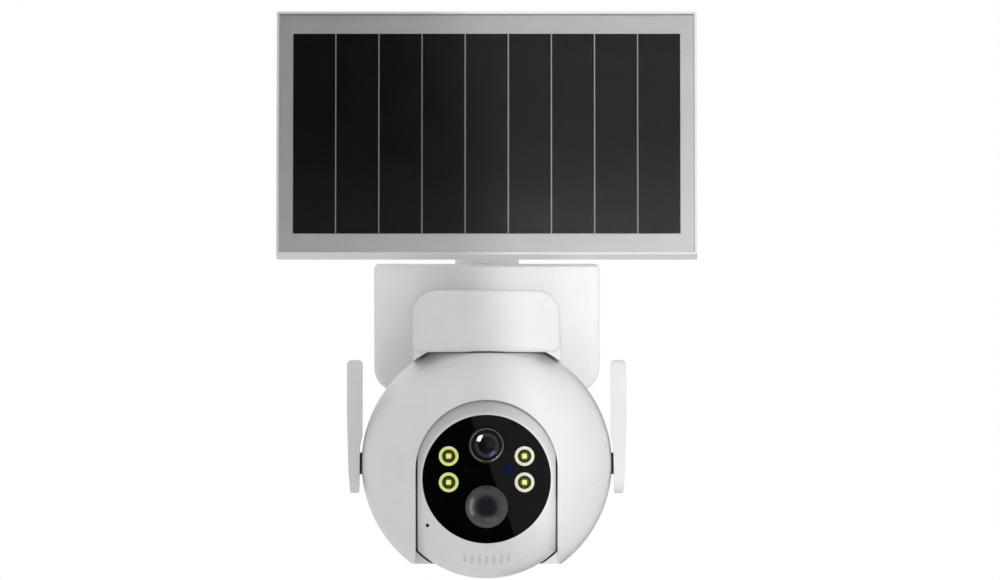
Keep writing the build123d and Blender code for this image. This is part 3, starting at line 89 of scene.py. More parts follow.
MIX_COLOURS = (6, 7)          # the Mix node's colour inputs
MIX_COLOUR_OUT = 2            # and its colour output


def add_node(tree, kind, inputs=None, **settings):
    """A new node in a tree, with its settings, and values or links for its inputs."""
    made = tree.nodes.new(kind)
    for key, value in settings.items():
        setattr(made, key, value)
    for key, value in (inputs or {}).items():
        if isinstance(value, bpy.types.NodeSocket):
            tree.links.new(value, made.inputs[key])
        else:
            made.inputs[key].default_value = value
    return made


class Look:
    """One procedural material around a Principled shader. Its patterns follow the piece's own place."""

    def __init__(self, name, **values):
        self.material = bpy.data.materials.new(name)
        self.material.use_nodes = True
        self.tree = self.material.node_tree
        self.shader = self.tree.nodes["Principled BSDF"]
        for socket, value in values.items():
            self.shader.inputs[socket.replace("_", " ")].default_value = value
        self.place = self.node("ShaderNodeTexCoord").outputs["Object"]
        self.bumped = None

    def node(self, kind, inputs=None, **settings):
        """A new node in this material."""
        return add_node(self.tree, kind, inputs, **settings)

    def stretched(self, scale):
        """The piece's coordinates, scaled along each axis."""
        return self.node("ShaderNodeMapping", {"Vector": self.place, "Scale": scale}).outputs["Vector"]

    def noise(self, size, detail=2.0, rough=0.5, place=None):
        """Soft noise whose blobs are about size metres across, from 0 to 1."""
        made = self.node("ShaderNodeTexNoise", {"Vector": place or self.place, "Scale": 1 / size,
                                                "Detail": detail, "Roughness": rough})
        return made.outputs["Fac"]

    def cells(self, size, feature):
        """Distance in a Voronoi pattern whose cells are about size metres across."""
        made = self.node("ShaderNodeTexVoronoi", {"Vector": self.place, "Scale": 1 / size}, feature=feature)
        return made.outputs["Distance"]

    def waves(self, pitch, direction, place=None, distortion=0.0):
        """Bands across one axis, a pitch in metres apart, from 0 to 1."""
        made = self.node("ShaderNodeTexWave", {"Vector": place or self.place, "Distortion": distortion,
                                               "Scale": 1 / (2 * pi * pitch)},
                         wave_type="BANDS", bands_direction=direction)
        return made.outputs["Fac"]

    def radial(self, centre):
        """Distance in metres from a line that runs straight ahead through a centre."""
        away = self.node("ShaderNodeVectorMath", {0: self.place, 1: tuple(centre)}, operation="SUBTRACT")
        flat = self.node("ShaderNodeVectorMath", {0: away.outputs["Vector"], 1: (1, 0, 1)},
                         operation="MULTIPLY")
        made = self.node("ShaderNodeVectorMath", {0: flat.outputs["Vector"]}, operation="LENGTH")
        return made.outputs["Value"]

    def side(self):
        """How far right of the middle the place is, in metres."""
        return self.node("ShaderNodeSeparateXYZ", {"Vector": self.place}).outputs["X"]

    def ramp(self, value, *stops):
        """Colours or greys at places along a value from 0 to 1."""
        made = self.node("ShaderNodeValToRGB", {"Fac": value})
        band = made.color_ramp
        while len(band.elements) < len(stops):
            band.elements.new(1.0)
        for element, (at, colour) in zip(band.elements, stops):
            element.position = at
            shade = (colour,) * 3 if isinstance(colour, (int, float)) else colour
            element.color = (*shade, 1.0)
        return made.outputs["Color"]

    def span(self, value, low, high, start=0.0, end=1.0):
        """A value from start..end taken to low..high."""
        made = self.node("ShaderNodeMapRange", {"Value": value, "From Min": start, "From Max": end,
                                                "To Min": low, "To Max": high})
        return made.outputs["Result"]

    def math(self, operation, first, second):
        """Two values put together by a math node."""
        made = self.node("ShaderNodeMath", {0: first, 1: second}, operation=operation)
        return made.outputs["Value"]

    def mix(self, share, first, second):
        """Two colours mixed by a share."""
        shades = [shade if isinstance(shade, bpy.types.NodeSocket) else (*shade, 1.0)
                  for shade in (first, second)]
        made = self.node("ShaderNodeMix", {0: share, **dict(zip(MIX_COLOURS, shades))}, data_type="RGBA")
        return made.outputs[MIX_COLOUR_OUT]

    def mottled(self, size, detail, first, second, start=0.3, end=0.7):
        """Base colour that drifts between two shades, in patches about size metres across."""
        self.colour(self.ramp(self.noise(size, detail), (start, first), (end, second)))

    def colour(self, value):
        """Sets the base colour."""
        self.tree.links.new(value, self.shader.inputs["Base Color"])

    def roughness(self, value):
        """Sets the roughness."""
        self.tree.links.new(value, self.shader.inputs["Roughness"])

    def bump(self, height, depth, strength=1.0):
        """Adds relief of a depth in metres, on top of what is there already."""
        inputs = {"Height": height, "Distance": depth, "Strength": strength}
        if self.bumped is not None:
            inputs["Normal"] = self.bumped
        self.bumped = self.node("ShaderNodeBump", inputs).outputs["Normal"]
        self.tree.links.new(self.bumped, self.shader.inputs["Normal"])

    def rounded(self, radius):
        """Softens the piece's sharp edges by a small radius, as a mould does."""
        self.bumped = self.node("ShaderNodeBevel", {"Radius": radius}, samples=4).outputs["Normal"]
        self.tree.links.new(self.bumped, self.shader.inputs["Normal"])


# ---------------------------------------------------------------- materials


def moulded(name, light, dark, rough, grain=0.35 * MM, relief=0.006 * MM, edge=0.25 * MM, coat=0.0):
    """Moulded plastic: fine spark-eroded grain, slow tone and gloss changes, and soft edges."""
    look = Look(name, Coat_Weight=coat, Coat_Roughness=0.12, IOR=1.47)
    if edge:
        look.rounded(edge)
    tone = look.noise(22 * MM, 3, 0.6)
    look.colour(look.mix(look.span(tone, 0.0, 1.0, 0.35, 0.65), dark, light))
    smudge = look.noise(9 * MM, 4, 0.65)
    fine = look.noise(1.1 * MM, 2)
    look.roughness(look.math("ADD", look.span(smudge, -0.04, 0.05, 0.3, 0.7),
                             look.span(fine, rough - 0.02, rough + 0.02)))
    look.bump(look.noise(grain, 2, 0.6), relief)
    return look


def metal(name, colour, rough, streak=(1, 1, 12)):
    """Machined or plated metal with fine streaks and small stains."""
    look = Look(name, Metallic=1.0)
    lines = look.noise(0.5 * MM, 3, 0.6, look.stretched(streak))
    stain = look.noise(3 * MM, 3)
    dull = tuple(0.86 * c for c in colour)
    look.colour(look.mix(look.span(stain, 0, 1, 0.35, 0.75), colour, dull))
    look.roughness(look.math("ADD", look.span(lines, rough - 0.08, rough + 0.1),
                             look.span(stain, -0.03, 0.04)))
    look.bump(lines, 0.004 * MM)
    return look


WHITE = (0.83, 0.835, 0.84)
WHITE_SHADE = (0.80, 0.805, 0.815)

ball_white = moulded("ball_white", WHITE, WHITE_SHADE, 0.3, grain=0.9 * MM, relief=0.002 * MM, edge=0.0)
housing_white = moulded("housing_white", (0.825, 0.83, 0.835), (0.795, 0.8, 0.81), 0.34)
panel_white = moulded("panel_white", (0.80, 0.81, 0.83), (0.77, 0.78, 0.80), 0.38, edge=0.3 * MM)
antenna_white = moulded("antenna_white", (0.80, 0.80, 0.81), (0.77, 0.77, 0.78), 0.42, grain=0.5 * MM,
                        relief=0.012 * MM, edge=0.4 * MM)
button_white = moulded("button_white", (0.74, 0.75, 0.76), (0.7, 0.71, 0.72), 0.4)
grey_rubber = moulded("grey_rubber", (0.5, 0.51, 0.52), (0.44, 0.45, 0.46), 0.7, grain=0.25 * MM,
                      relief=0.02 * MM)
black_plastic = moulded("black_plastic", (0.022, 0.022, 0.024), (0.014, 0.014, 0.015), 0.42)
lens_black = moulded("lens_black", (0.012, 0.012, 0.013), (0.007, 0.007, 0.008), 0.38, grain=0.2 * MM)
acetal = moulded("acetal", (0.78, 0.77, 0.72), (0.7, 0.69, 0.64), 0.45)
cell_wrap = moulded("cell_wrap", (0.05, 0.19, 0.42), (0.04, 0.15, 0.34), 0.3, coat=0.4)

zinc = metal("zinc_steel", (0.66, 0.66, 0.68), 0.36)
stainless = metal("stainless", (0.62, 0.62, 0.64), 0.28, streak=(12, 1, 1))
motor_can = metal("motor_can", (0.58, 0.59, 0.6), 0.3)
bronze = metal("sintered_bronze", (0.58, 0.4, 0.2), 0.48)
lens_metal = metal("lens_metal", (0.72, 0.72, 0.74), 0.2, streak=(1, 1, 1))

# contact ribbons between the strips: dull solder
ribbon = Look("tinned_ribbon", Metallic=0.2, Roughness=0.5)
ribbon.mottled(2 * MM, 2, 0.44, 0.56)
ribbon.bump(ribbon.noise(0.5 * MM), 0.01 * MM)

# face window: polished dark acrylic with a faint haze
window_black = Look("window_black", IOR=1.5)
window_black.mottled(6 * MM, 3, 0.0012, 0.0028, end=0.8)
window_black.roughness(window_black.span(window_black.noise(5 * MM, 4, 0.7), 0.006, 0.035, 0.4, 0.8))

# board under the parts: green solder mask with copper tracks
board = Look("circuit_board", Roughness=0.4)
MASK_OVER_TRACK, MASK = (0.05, 0.28, 0.1), (0.012, 0.11, 0.04)
track = board.cells(1.7 * MM, "DISTANCE_TO_EDGE")
board.colour(board.ramp(track, (0.0, MASK_OVER_TRACK), (0.06, MASK_OVER_TRACK), (0.1, MASK)))
board.roughness(board.span(board.noise(1 * MM), 0.3, 0.5))
board.bump(track, 0.03 * MM, 0.4)

# solar strips: dark silicon with the thinnest contact fingers
silicon = Look("silicon", IOR=1.5, Specular_IOR_Level=0.1)
finger = silicon.ramp(silicon.waves(1.3 * MM, "X", silicon.stretched((1, 0, 0))), (0.9, 0.0), (1.0, 0.4))
base = silicon.mix(silicon.span(silicon.noise(60 * MM, 2), 0, 1, 0.3, 0.7), (0.0016, 0.0016, 0.0019),
                   (0.0024, 0.0023, 0.0027))
silicon.colour(silicon.mix(finger, base, (0.005, 0.005, 0.0055)))
silicon.roughness(silicon.span(silicon.noise(5 * MM, 2), 0.42, 0.5))

# film behind the strips: silver grey with a metallic sheen
backsheet = Look("backsheet", Metallic=0.8)
sparkle = backsheet.noise(0.6 * MM, 2)
backsheet.colour(backsheet.mix(backsheet.span(backsheet.noise(30 * MM, 2), 0, 1, 0.3, 0.7),
                               (0.64, 0.635, 0.64), (0.68, 0.675, 0.68)))
backsheet.roughness(backsheet.span(sparkle, 0.26, 0.36))
backsheet.bump(sparkle, 0.003 * MM)


def clear(name, rough, ior=1.5):
    """Clear glass or acrylic that lets light straight through, so that what lies behind stays lit."""
    material = bpy.data.materials.new(name)
    material.use_nodes = True
    tree = material.node_tree
    tree.nodes.clear()
    place = add_node(tree, "ShaderNodeTexCoord").outputs["Object"]
    haze = add_node(tree, "ShaderNodeTexNoise", {"Vector": place, "Scale": 1 / (12 * MM), "Detail": 4})
    spread = add_node(tree, "ShaderNodeMapRange", {"Value": haze.outputs["Fac"], "From Min": 0.35,
                                                   "From Max": 0.75, "To Min": rough, "To Max": rough + 0.05})
    through = add_node(tree, "ShaderNodeBsdfTransparent")
    gloss = add_node(tree, "ShaderNodeBsdfGlossy", {"Roughness": spread.outputs["Result"]})
    fresnel = add_node(tree, "ShaderNodeFresnel", {"IOR": ior})
    both = add_node(tree, "ShaderNodeMixShader", {0: fresnel.outputs["Fac"], 1: through.outputs["BSDF"],
                                                  2: gloss.outputs["BSDF"]})
    add_node(tree, "ShaderNodeOutputMaterial", {"Surface": both.outputs["Shader"]})
    return material


panel_clear = clear("panel_clear", 0.08, 1.4)
lamp_clear = clear("lamp_clear", 0.02)
lens_clear = clear("lens_clear", 0.01, 1.55)

# motion sensor dome: dark blue-grey with shallow lenslets moulded inside, and a paler rim painted into its
# colour as a painted sheen
PIR_R = 9.5 * MM
pir_plastic = Look("pir_plastic", IOR=1.5, Coat_Weight=0.5, Coat_Roughness=0.08)
lenslets = pir_plastic.cells(2.4 * MM, "SMOOTH_F1")
centre_tone = pir_plastic.ramp(lenslets, (0.0, (0.011, 0.013, 0.0165)), (0.7, (0.015, 0.0175, 0.0215)))
from_middle = pir_plastic.span(pir_plastic.radial(PIR), 0, 1, 0, PIR_R)
# the paler rim, mixed in by distance from the dome's middle, is a painted sheen
painted_rim_sheen_share = pir_plastic.ramp(from_middle, (0.66, 0.0), (0.88, 0.3), (0.99, 0.85))
pir_plastic.colour(pir_plastic.mix(painted_rim_sheen_share, centre_tone, (0.082, 0.092, 0.1)))
pir_plastic.roughness(pir_plastic.span(pir_plastic.noise(2 * MM, 2), 0.2, 0.3))
pir_plastic.bump(lenslets, 0.02 * MM, 0.35)

# lamp rings: yellow-green on the left, creamy on the right, with a faint painted glow
ring_yellow = Look("lamp_ring", Roughness=0.3, IOR=1.5, Coat_Weight=0.5, Emission_Color=(0.62, 0.66, 0.3, 1),
                   Emission_Strength=0.14)
on_right = ring_yellow.span(ring_yellow.side(), 0, 1, -1 * MM, 1 * MM)
left_shade = ring_yellow.ramp(ring_yellow.noise(1.5 * MM, 2), (0.3, (0.78, 0.86, 0.2)),
                              (0.7, (0.88, 0.93, 0.32)))
right_shade = ring_yellow.ramp(ring_yellow.noise(1.2 * MM, 2), (0.3, (0.74, 0.73, 0.58)),
                               (0.7, (0.8, 0.79, 0.68)))
ring_yellow.colour(ring_yellow.mix(on_right, left_shade, right_shade))
ring_yellow.bump(ring_yellow.noise(0.3 * MM), 0.01 * MM)

# lamp chips: yellow phosphor under clear resin, with a painted yellow glow
phosphor = Look("phosphor", Roughness=0.35, Coat_Weight=0.6, Emission_Color=(0.8, 0.8, 0.3, 1),
                Emission_Strength=0.7)
phosphor.mottled(0.25 * MM, 3, (0.72, 0.68, 0.1), (0.85, 0.82, 0.2))
phosphor.bump(phosphor.noise(0.12 * MM), 0.02 * MM)

# lamp cups: near black, and their bases olive
lamp_cup = Look("lamp_cup", Metallic=0.3, Roughness=0.35)
lamp_cup.mottled(0.8 * MM, 2, (0.012, 0.013, 0.008), (0.022, 0.024, 0.014))
lamp_cup.bump(lamp_cup.noise(0.2 * MM), 0.01 * MM)
lamp_olive = Look("lamp_olive", Roughness=0.4, Coat_Weight=0.3)
lamp_olive.mottled(0.5 * MM, 2, (0.15, 0.16, 0.05), (0.26, 0.27, 0.1))
lamp_olive.bump(lamp_olive.noise(0.2 * MM), 0.01 * MM)

# coated inner lens: near black, with a blue-violet coating that shows towards its edge
coated = Look("coated_glass", Metallic=0.9)
from_axis = coated.span(coated.radial(LENS), 0, 1, 0, 4.6 * MM)
coated.colour(coated.ramp(from_axis, (0.0, (0.004, 0.004, 0.008)), (0.33, (0.006, 0.006, 0.014)),
                          (0.36, (0.05, 0.05, 0.09)), (0.4, (0.012, 0.012, 0.04)), (0.75, (0.06, 0.05, 0.17)),
                          (1.0, (0.03, 0.05, 0.13))))
coated.roughness(coated.span(coated.noise(2 * MM, 2), 0.03, 0.08))

wiper_grey = moulded("wiper_grey", (0.66, 0.66, 0.67), (0.6, 0.6, 0.61), 0.6, edge=0.0, relief=0.02 * MM)

# cloth behind the speaker slots: pale weave
speaker_cloth = Look("speaker_cloth", Roughness=0.85)
warp, weft = (speaker_cloth.waves(0.32 * MM, direction, distortion=0.3) for direction in "XZ")
thread = speaker_cloth.math("MULTIPLY", warp, weft)
speaker_cloth.colour(speaker_cloth.ramp(thread, (0.0, 0.74), (0.8, 0.88)))
speaker_cloth.bump(thread, 0.05 * MM)

# light sensor and status light: dark and blue windows
sensor_dark = Look("sensor_dark", Roughness=0.08, IOR=1.5)
sensor_dark.mottled(1 * MM, 2, (0.002, 0.002, 0.003), (0.006, 0.005, 0.005), end=0.8)
status_blue = Look("status_blue", Roughness=0.1, IOR=1.5)
status_blue.mottled(1 * MM, 2, (0.003, 0.011, 0.05), (0.006, 0.018, 0.075), end=0.8)

CLEAR = {"panel_glass": panel_clear, "led_lenses": lamp_clear, "lens_glass": lens_clear}
SHOWN_WITH = {
    ball_white: ["ball_front", "ball_rear", "head_front", "head_rear"],
    housing_white: ["housing_back", "housing_shell", "arm_shell", "arm_hatch", "junction_box", "panel_clevis",
                    "panel_neck", "swivel_base", "tilt_knob"],
    panel_white: ["panel_frame"],
    antenna_white: ["antenna_left", "antenna_right"],
    button_white: ["power_button"],
    grey_rubber: ["usb_flap", "sd_flap", "housing_gasket", "solar_inlet"],
    black_plastic: ["battery_cradle", "pan_spindle", "tilt_axles", "antenna_pivot_left",
                    "antenna_pivot_right", "reset_button", "speaker"],
    lens_black: ["lens_barrel"],
    acetal: ["pan_gear", "pan_pinion", "tilt_gear", "tilt_pinion"],
    cell_wrap: ["battery_cells"],
    zinc: ["wall_plate", "case_screws", "hatch_screws", "ball_screws", "head_screws"],
    stainless: ["tilt_bolt"],
    motor_can: ["pan_motor", "tilt_motor"],
    bronze: ["pan_bush", "tilt_bushes"],
    lens_metal: ["lens_ring"],
    ribbon: ["busbars"],
    window_black: ["face_window"],
    board: ["charge_board", "main_board", "image_board", "led_board"],
    silicon: ["solar_cells"],
    backsheet: ["panel_backsheet"],
    pir_plastic: ["pir_lens"],
    ring_yellow: ["led_rings"],
    sensor_dark: ["light_sensor"],
    status_blue: ["status_light"],
}

finishes = {member: look.material for look, members in SHOWN_WITH.items() for member in members}
for member, material in {**finishes, **CLEAR}.items():
    nodes[member].data.materials.clear()
    nodes[member].data.materials.append(material)

# ---------------------------------------------------------------- new pieces

shown_pieces = list(nodes.values())
SHARP = radians(32)           # edges that turn by more than this stay crisp
MERGE = 1e-7                  # points closer than this are one


def piece(name, form, body, look):
    """Turns a bmesh into a piece that rides on a body and takes its finish from a material slot."""
    bmesh.ops.remove_doubles(form, verts=form.verts, dist=MERGE)
    bmesh.ops.dissolve_degenerate(form, edges=form.edges, dist=MERGE)
    bmesh.ops.recalc_face_normals(form, faces=form.faces)
    data = bpy.data.meshes.new(name)
    form.to_mesh(data)
    form.free()
    data.shade_smooth()
    data.set_sharp_from_angle(angle=SHARP)
    data.materials.append(look.material)
    made = bpy.data.objects.new(name, data)
    scene.collection.objects.link(made)
    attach(made, body)
    shown_pieces.append(made)
    return made


def carried_round(profile, steps, place):
    """Closed solid from a closed profile carried round a full turn. The profile's points are (radius, along),
    and place(radius, along, turn) says where each one goes."""
    form = bmesh.new()
    rings = []
    for step in range(steps):
        turn = 2 * pi * step / steps
        rings.append([form.verts.new(place(radius, along, turn)) for radius, along in profile])
    for here, there in zip(rings, rings[1:] + rings[:1]):
        for i, (radius, _) in enumerate(profile):
            j = (i + 1) % len(profile)
            if radius or profile[j][0]:
                form.faces.new((here[i], here[j], there[j], there[i]))
    return form


def turned(centre, profile, steps=72):
    """Solid turned about the line that runs ahead of the head through a centre; the closed profile is
    (radius, distance ahead of the head's middle), in mm."""
    return carried_round(profile, steps, lambda radius, out, turn: (
        centre.x + radius * MM * cos(turn), HEAD.y - out * MM, centre.z + radius * MM * sin(turn)))


def crowned(radius, rim, crown, steps=12):
    """Points of a dome from its rim to its top, as (radius, distance ahead), in mm."""
    ball = (radius ** 2 + crown ** 2) / (2 * crown)
    widest = atan2(radius, ball - crown)
    turns = [widest * (1 - step / steps) for step in range(steps + 1)]
    return [(ball * sin(turn) if turn else 0.0, rim + crown - ball * (1 - cos(turn))) for turn in turns]


# lens: stepped light baffle, a coated inner lens and a gasket round the barrel; lengths in mm
BAFFLE_R, BAFFLE_HOLE_R = 6.2, 3.2
BAFFLE_BACK, FIRST_STEP, BAFFLE_FRONT = 26.6, 27.8, 33.5
STEP_OUT, STEP_AHEAD, STEP_COUNT = 0.55, 1.14, 5
baffle = [(BAFFLE_R, BAFFLE_FRONT), (BAFFLE_R, BAFFLE_BACK), (BAFFLE_HOLE_R, BAFFLE_BACK)]
for step in range(STEP_COUNT):
    radius, ahead = BAFFLE_HOLE_R + STEP_OUT * step, FIRST_STEP + STEP_AHEAD * step
    baffle += [(radius, ahead), (radius + STEP_OUT, ahead)]
baffle += [(BAFFLE_HOLE_R + STEP_OUT * STEP_COUNT, BAFFLE_FRONT)]
piece("lens_baffle", turned(LENS, baffle), "head", lens_black)

INNER_R, INNER_BACK, INNER_RIM, INNER_CROWN = 4.75, 30.15, 30.6, 1.5
inner = [(0.0, INNER_BACK), (INNER_R, INNER_BACK)] + crowned(INNER_R, INNER_RIM, INNER_CROWN)
lens_inner = piece("lens_inner", turned(LENS, inner), "head", coated)

GASKET = [(7.56, 33.3), (7.56, 30.3), (8.34, 30.3), (8.34, 33.3), (8.1, 33.42), (7.9, 33.2)]
piece("lens_gasket", turned(LENS, GASKET), "head", black_plastic)

# lamps: a dark cup, an olive base and a phosphor chip in each ring; profiles and lengths in mm
ring_low, ring_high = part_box("led_rings")
LAMP_RING_R = 4.4 * MM
LAMPS = [Vector((x, HEAD.y, z)) for x in (ring_low.x + LAMP_RING_R, ring_high.x - LAMP_RING_R)
         for z in (ring_low.z + LAMP_RING_R, ring_high.z - LAMP_RING_R)]
CUP = [(0.0, 29.9), (2.95, 29.9), (2.95, 31.1), (2.75, 31.1), (1.9, 30.15), (0.0, 30.15)]
BASE = [(0.0, 30.1), (1.95, 30.1), (2.0, 30.3), (1.85, 30.42), (0.0, 30.42)]
LAMP_STEPS = 48
CHIP_FRONT, CHIP_SIDE, CHIP_DEPTH, CHIP_EDGE = 30.8, 2.1, 0.55, 0.18
for number, lamp in enumerate(LAMPS, 1):
    piece(f"lamp_cup_{number}", turned(lamp, CUP, LAMP_STEPS), "head", lamp_cup)
    piece(f"lamp_base_{number}", turned(lamp, BASE, LAMP_STEPS), "head", lamp_olive)
    chip = bmesh.new()
    bmesh.ops.create_cube(chip, size=1.0)
    bmesh.ops.scale(chip, verts=chip.verts, vec=MM * Vector((CHIP_SIDE, CHIP_DEPTH, CHIP_SIDE)))
    chip_y = HEAD.y - (CHIP_FRONT - CHIP_DEPTH / 2) * MM
    bmesh.ops.translate(chip, verts=chip.verts, vec=(lamp.x, chip_y, lamp.z))
    bmesh.ops.bevel(chip, geom=chip.edges[:], offset=CHIP_EDGE * MM, segments=3, profile=0.5, affect="EDGES")
    piece(f"lamp_chip_{number}", chip, "head", phosphor)

# wiper rings either side of the head, in the gap beside it
WIPER = [(31.4, 31.66), (31.4, 31.86), (25.0, 31.86), (25.0, 31.66)]     # radius, distance from the middle
WIPER_STEPS = 120
for name, hand in (("wiper_left", -1), ("wiper_right", 1)):
    ring = carried_round(WIPER, WIPER_STEPS, lambda radius, across, turn: (
        hand * across * MM, HEAD.y + radius * MM * cos(turn), HEAD.z + radius * MM * sin(turn)))
    piece(name, ring, "ball", wiper_grey)

# speaker: cloth just under each slot's mouth, following the head's round; lengths in mm
SPEAKER_TURN = radians(54.0)  # below straight ahead
SPEAKER_OUT = Vector((0, -cos(SPEAKER_TURN), -sin(SPEAKER_TURN)))
SPEAKER_UP = Vector((0, -sin(SPEAKER_TURN), cos(SPEAKER_TURN)))
CLOTH_FRONT, CLOTH_BACK = 44.5, 42.0
SPEAKER_SLOTS, SLOT_PITCH, SLOT_W, SLOT_L = 7, 3.24, 1.28, 6.78
SLOT_R, SLOT_END = SLOT_W / 2, (SLOT_L - SLOT_W) / 2
ARC_STEPS = 8
cloth = bmesh.new()
for count in range(SPEAKER_SLOTS):
    across = (count - (SPEAKER_SLOTS - 1) / 2) * SLOT_PITCH
    outline = []
    for end, start in ((SLOT_END, 0), (-SLOT_END, pi)):
        turns = [start + pi * step / ARC_STEPS for step in range(ARC_STEPS + 1)]
        outline += [(across + SLOT_R * cos(turn), end + SLOT_R * sin(turn)) for turn in turns]
    front, back = ([cloth.verts.new(HEAD + MM * (Vector((1, 0, 0)) * u + SPEAKER_UP * v
                                                 + SPEAKER_OUT * sqrt(radius ** 2 - u * u - v * v)))
                    for u, v in outline] for radius in (CLOTH_FRONT, CLOTH_BACK))
    cloth.faces.new(front)
    cloth.faces.new(back[::-1])
    for i in range(len(outline)):
        j = (i + 1) % len(outline)
        cloth.faces.new((front[i], front[j], back[j], back[i]))
piece("speaker_cloth", cloth, "head", speaker_cloth)

# ---------------------------------------------------------------- stage


def stage_mesh(name, form, material):
    """A mesh that belongs to the studio, not to the object."""
    data = bpy.data.meshes.new(name)
    form.to_mesh(data)
    form.free()
    data.materials.append(material)
    made = bpy.data.objects.new(name, data)
    scene.collection.objects.link(made)
    return made


# floor: pale and one-sided, so that the object's underside can be looked at from below it
FLOOR_DROP = 0.2              # below the object
FLOOR_R = 12
pale = Look("pale_floor", Roughness=0.8)
pale.mottled(0.3, 2, 0.84, 0.87)
from_below = pale.node("ShaderNodeNewGeometry").outputs["Backfacing"]
one_sided = pale.node("ShaderNodeMixShader", {0: from_below, 1: pale.shader.outputs["BSDF"],
                                              2: pale.node("ShaderNodeBsdfTransparent").outputs["BSDF"]})
pale.tree.links.new(one_sided.outputs["Shader"], pale.tree.nodes["Material Output"].inputs["Surface"])
floor_form = bmesh.new()
bmesh.ops.create_circle(floor_form, cap_ends=True, segments=96, radius=FLOOR_R)
floor = stage_mesh("floor", floor_form, pale.material)
floor.location = (BALL.x, BALL.y, cad_low.z - FLOOR_DROP)
floor.visible_glossy = False

# world: white behind the object; for its light, bright all round with a dark studio behind the camera.
# Directions are parts of a unit vector, so that -1 in Y is straight behind the camera.
world = bpy.data.worlds.new("studio")
scene.world = world
world.use_nodes = True
sky = world.node_tree
sky.nodes.clear()


def sky_span(value, edge, low, high):
    """A direction's part taken to low..high across a soft edge."""
    made = add_node(sky, "ShaderNodeMapRange", {"Value": value, "From Min": edge[0], "From Max": edge[1],
                                                "To Min": low, "To Max": high},
                    interpolation_type="SMOOTHSTEP")
    return made.outputs["Result"]


def sky_math(operation, first, second):
    """Two values put together by a math node."""
    return add_node(sky, "ShaderNodeMath", {0: first, 1: second}, operation=operation).outputs["Value"]


def sky_choice(share, first, second):
    """The first value, or the second one where the share is 1."""
    return add_node(sky, "ShaderNodeMix", {0: share, 2: first, 3: second}, data_type="FLOAT").outputs[0]


ROOM, DARK = 0.83, 0.28       # light on matt surfaces from the room, and from the dark behind the camera
DARK_EDGE = (-0.95, -0.6)     # where the dark gives way to the room
SIDE_CONTRAST = 0.16          # how much brighter the right is than the middle
TOP_CONTRAST = -0.1           # and the top
GLOSS_ROOM = 0.75             # what glossy surfaces mirror of the room
GLOSS_DARK_EDGE = (-0.8, -0.55)
BAND_LEFT, BAND_RIGHT = (0.04, 0.1), (0.3, 0.45)      # edges of a dark band behind the object, on the right
BAND_FRONT = (0.7, 0.85)
BAND_DEPTH = 0.92             # how dark it is
generated = add_node(sky, "ShaderNodeTexCoord").outputs["Generated"]
towards = add_node(sky, "ShaderNodeSeparateXYZ", {"Vector": generated}).outputs
ray = add_node(sky, "ShaderNodeLightPath").outputs
around = sky_span(towards["Y"], DARK_EDGE, DARK, ROOM)
from_right = sky_span(towards["X"], (-1.0, 1.0), 1 - SIDE_CONTRAST, 1 + SIDE_CONTRAST)
from_above = sky_span(towards["Z"], (-0.6, 1.0), 1 - TOP_CONTRAST, 1 + TOP_CONTRAST)
for_matt = sky_math("MULTIPLY", around, sky_math("MULTIPLY", from_right, from_above))
band = sky_math("MULTIPLY", sky_span(towards["X"], BAND_LEFT, 0.0, 1.0),
                sky_span(towards["X"], BAND_RIGHT, 1.0, 0.0))
band = sky_math("MULTIPLY", band, sky_span(towards["Y"], BAND_FRONT, 0.0, BAND_DEPTH))
for_gloss = sky_math("MULTIPLY", sky_span(towards["Y"], GLOSS_DARK_EDGE, 0.0, GLOSS_ROOM),
                     sky_math("SUBTRACT", 1.0, band))
light = sky_choice(ray["Is Glossy Ray"], for_matt, for_gloss)
seen = sky_choice(ray["Is Camera Ray"], light, 1.0)
backdrop = add_node(sky, "ShaderNodeBackground", {"Color": (1, 1, 1, 1), "Strength": seen})
add_node(sky, "ShaderNodeOutputWorld", {"Surface": backdrop.outputs["Background"]})

# ---------------------------------------------------------------- lights


def panel_light(name, place, aim, size, power, roll=0.0, gloss=True, diffuse=True, tint=(1, 1, 1)):
    """Rectangular studio light, with its size in metres and power in watts, that the camera doesn't see."""
    data = bpy.data.lights.new(name, "AREA")
    data.color = tint
    data.shape = "RECTANGLE"
    data.size, data.size_y = size
    data.energy = power
    lamp = bpy.data.objects.new(name, data)
    turn = (aim - place).to_track_quat("-Z", "Y")
    lamp.matrix_world = (Matrix.Translation(place) @ turn.to_matrix().to_4x4()
                         @ Matrix.Rotation(radians(roll), 4, "Z"))
    scene.collection.objects.link(lamp)
    lamp.visible_camera = False
    lamp.visible_glossy = gloss
    lamp.visible_diffuse = diffuse
    return lamp


def only_seen_by(lamp, members):
    """Keeps a light to some pieces, as flags and gobos do."""
    group = bpy.data.collections.new(lamp.name + "_seen_by")
    for member in members:
        group.objects.link(nodes[member] if isinstance(member, str) else member)
    lamp.light_linking.receiver_collection = group


# key: sun-like light from the front, kept off the left half by a flag whose edge falls softly on the object
KEY_STRENGTH = 1.2
KEY_SPREAD = radians(1.6)
KEY_DOWN = radians(6)         # how steeply it comes down
FLAG_AWAY = 1.0               # ahead of the ball
FLAG_EDGE = 0.005             # where its edge falls, right of the middle
FLAG_ROLL = radians(8)
FLAG_W, FLAG_H = 1.6, 3.0
key_data = bpy.data.lights.new("key", "SUN")
key_data.energy = KEY_STRENGTH
key_data.angle = KEY_SPREAD
key = bpy.data.objects.new("key", key_data)
key.rotation_euler = (pi / 2 - KEY_DOWN, 0, 0)
key.visible_glossy = False
scene.collection.objects.link(key)
flag_form = bmesh.new()
flag_form.faces.new([flag_form.verts.new((x, 0, z)) for x, z in (
    (-FLAG_W, -FLAG_H / 2), (0, -FLAG_H / 2), (0, FLAG_H / 2), (-FLAG_W, FLAG_H / 2))])
flag = stage_mesh("flag", flag_form, black_plastic.material)
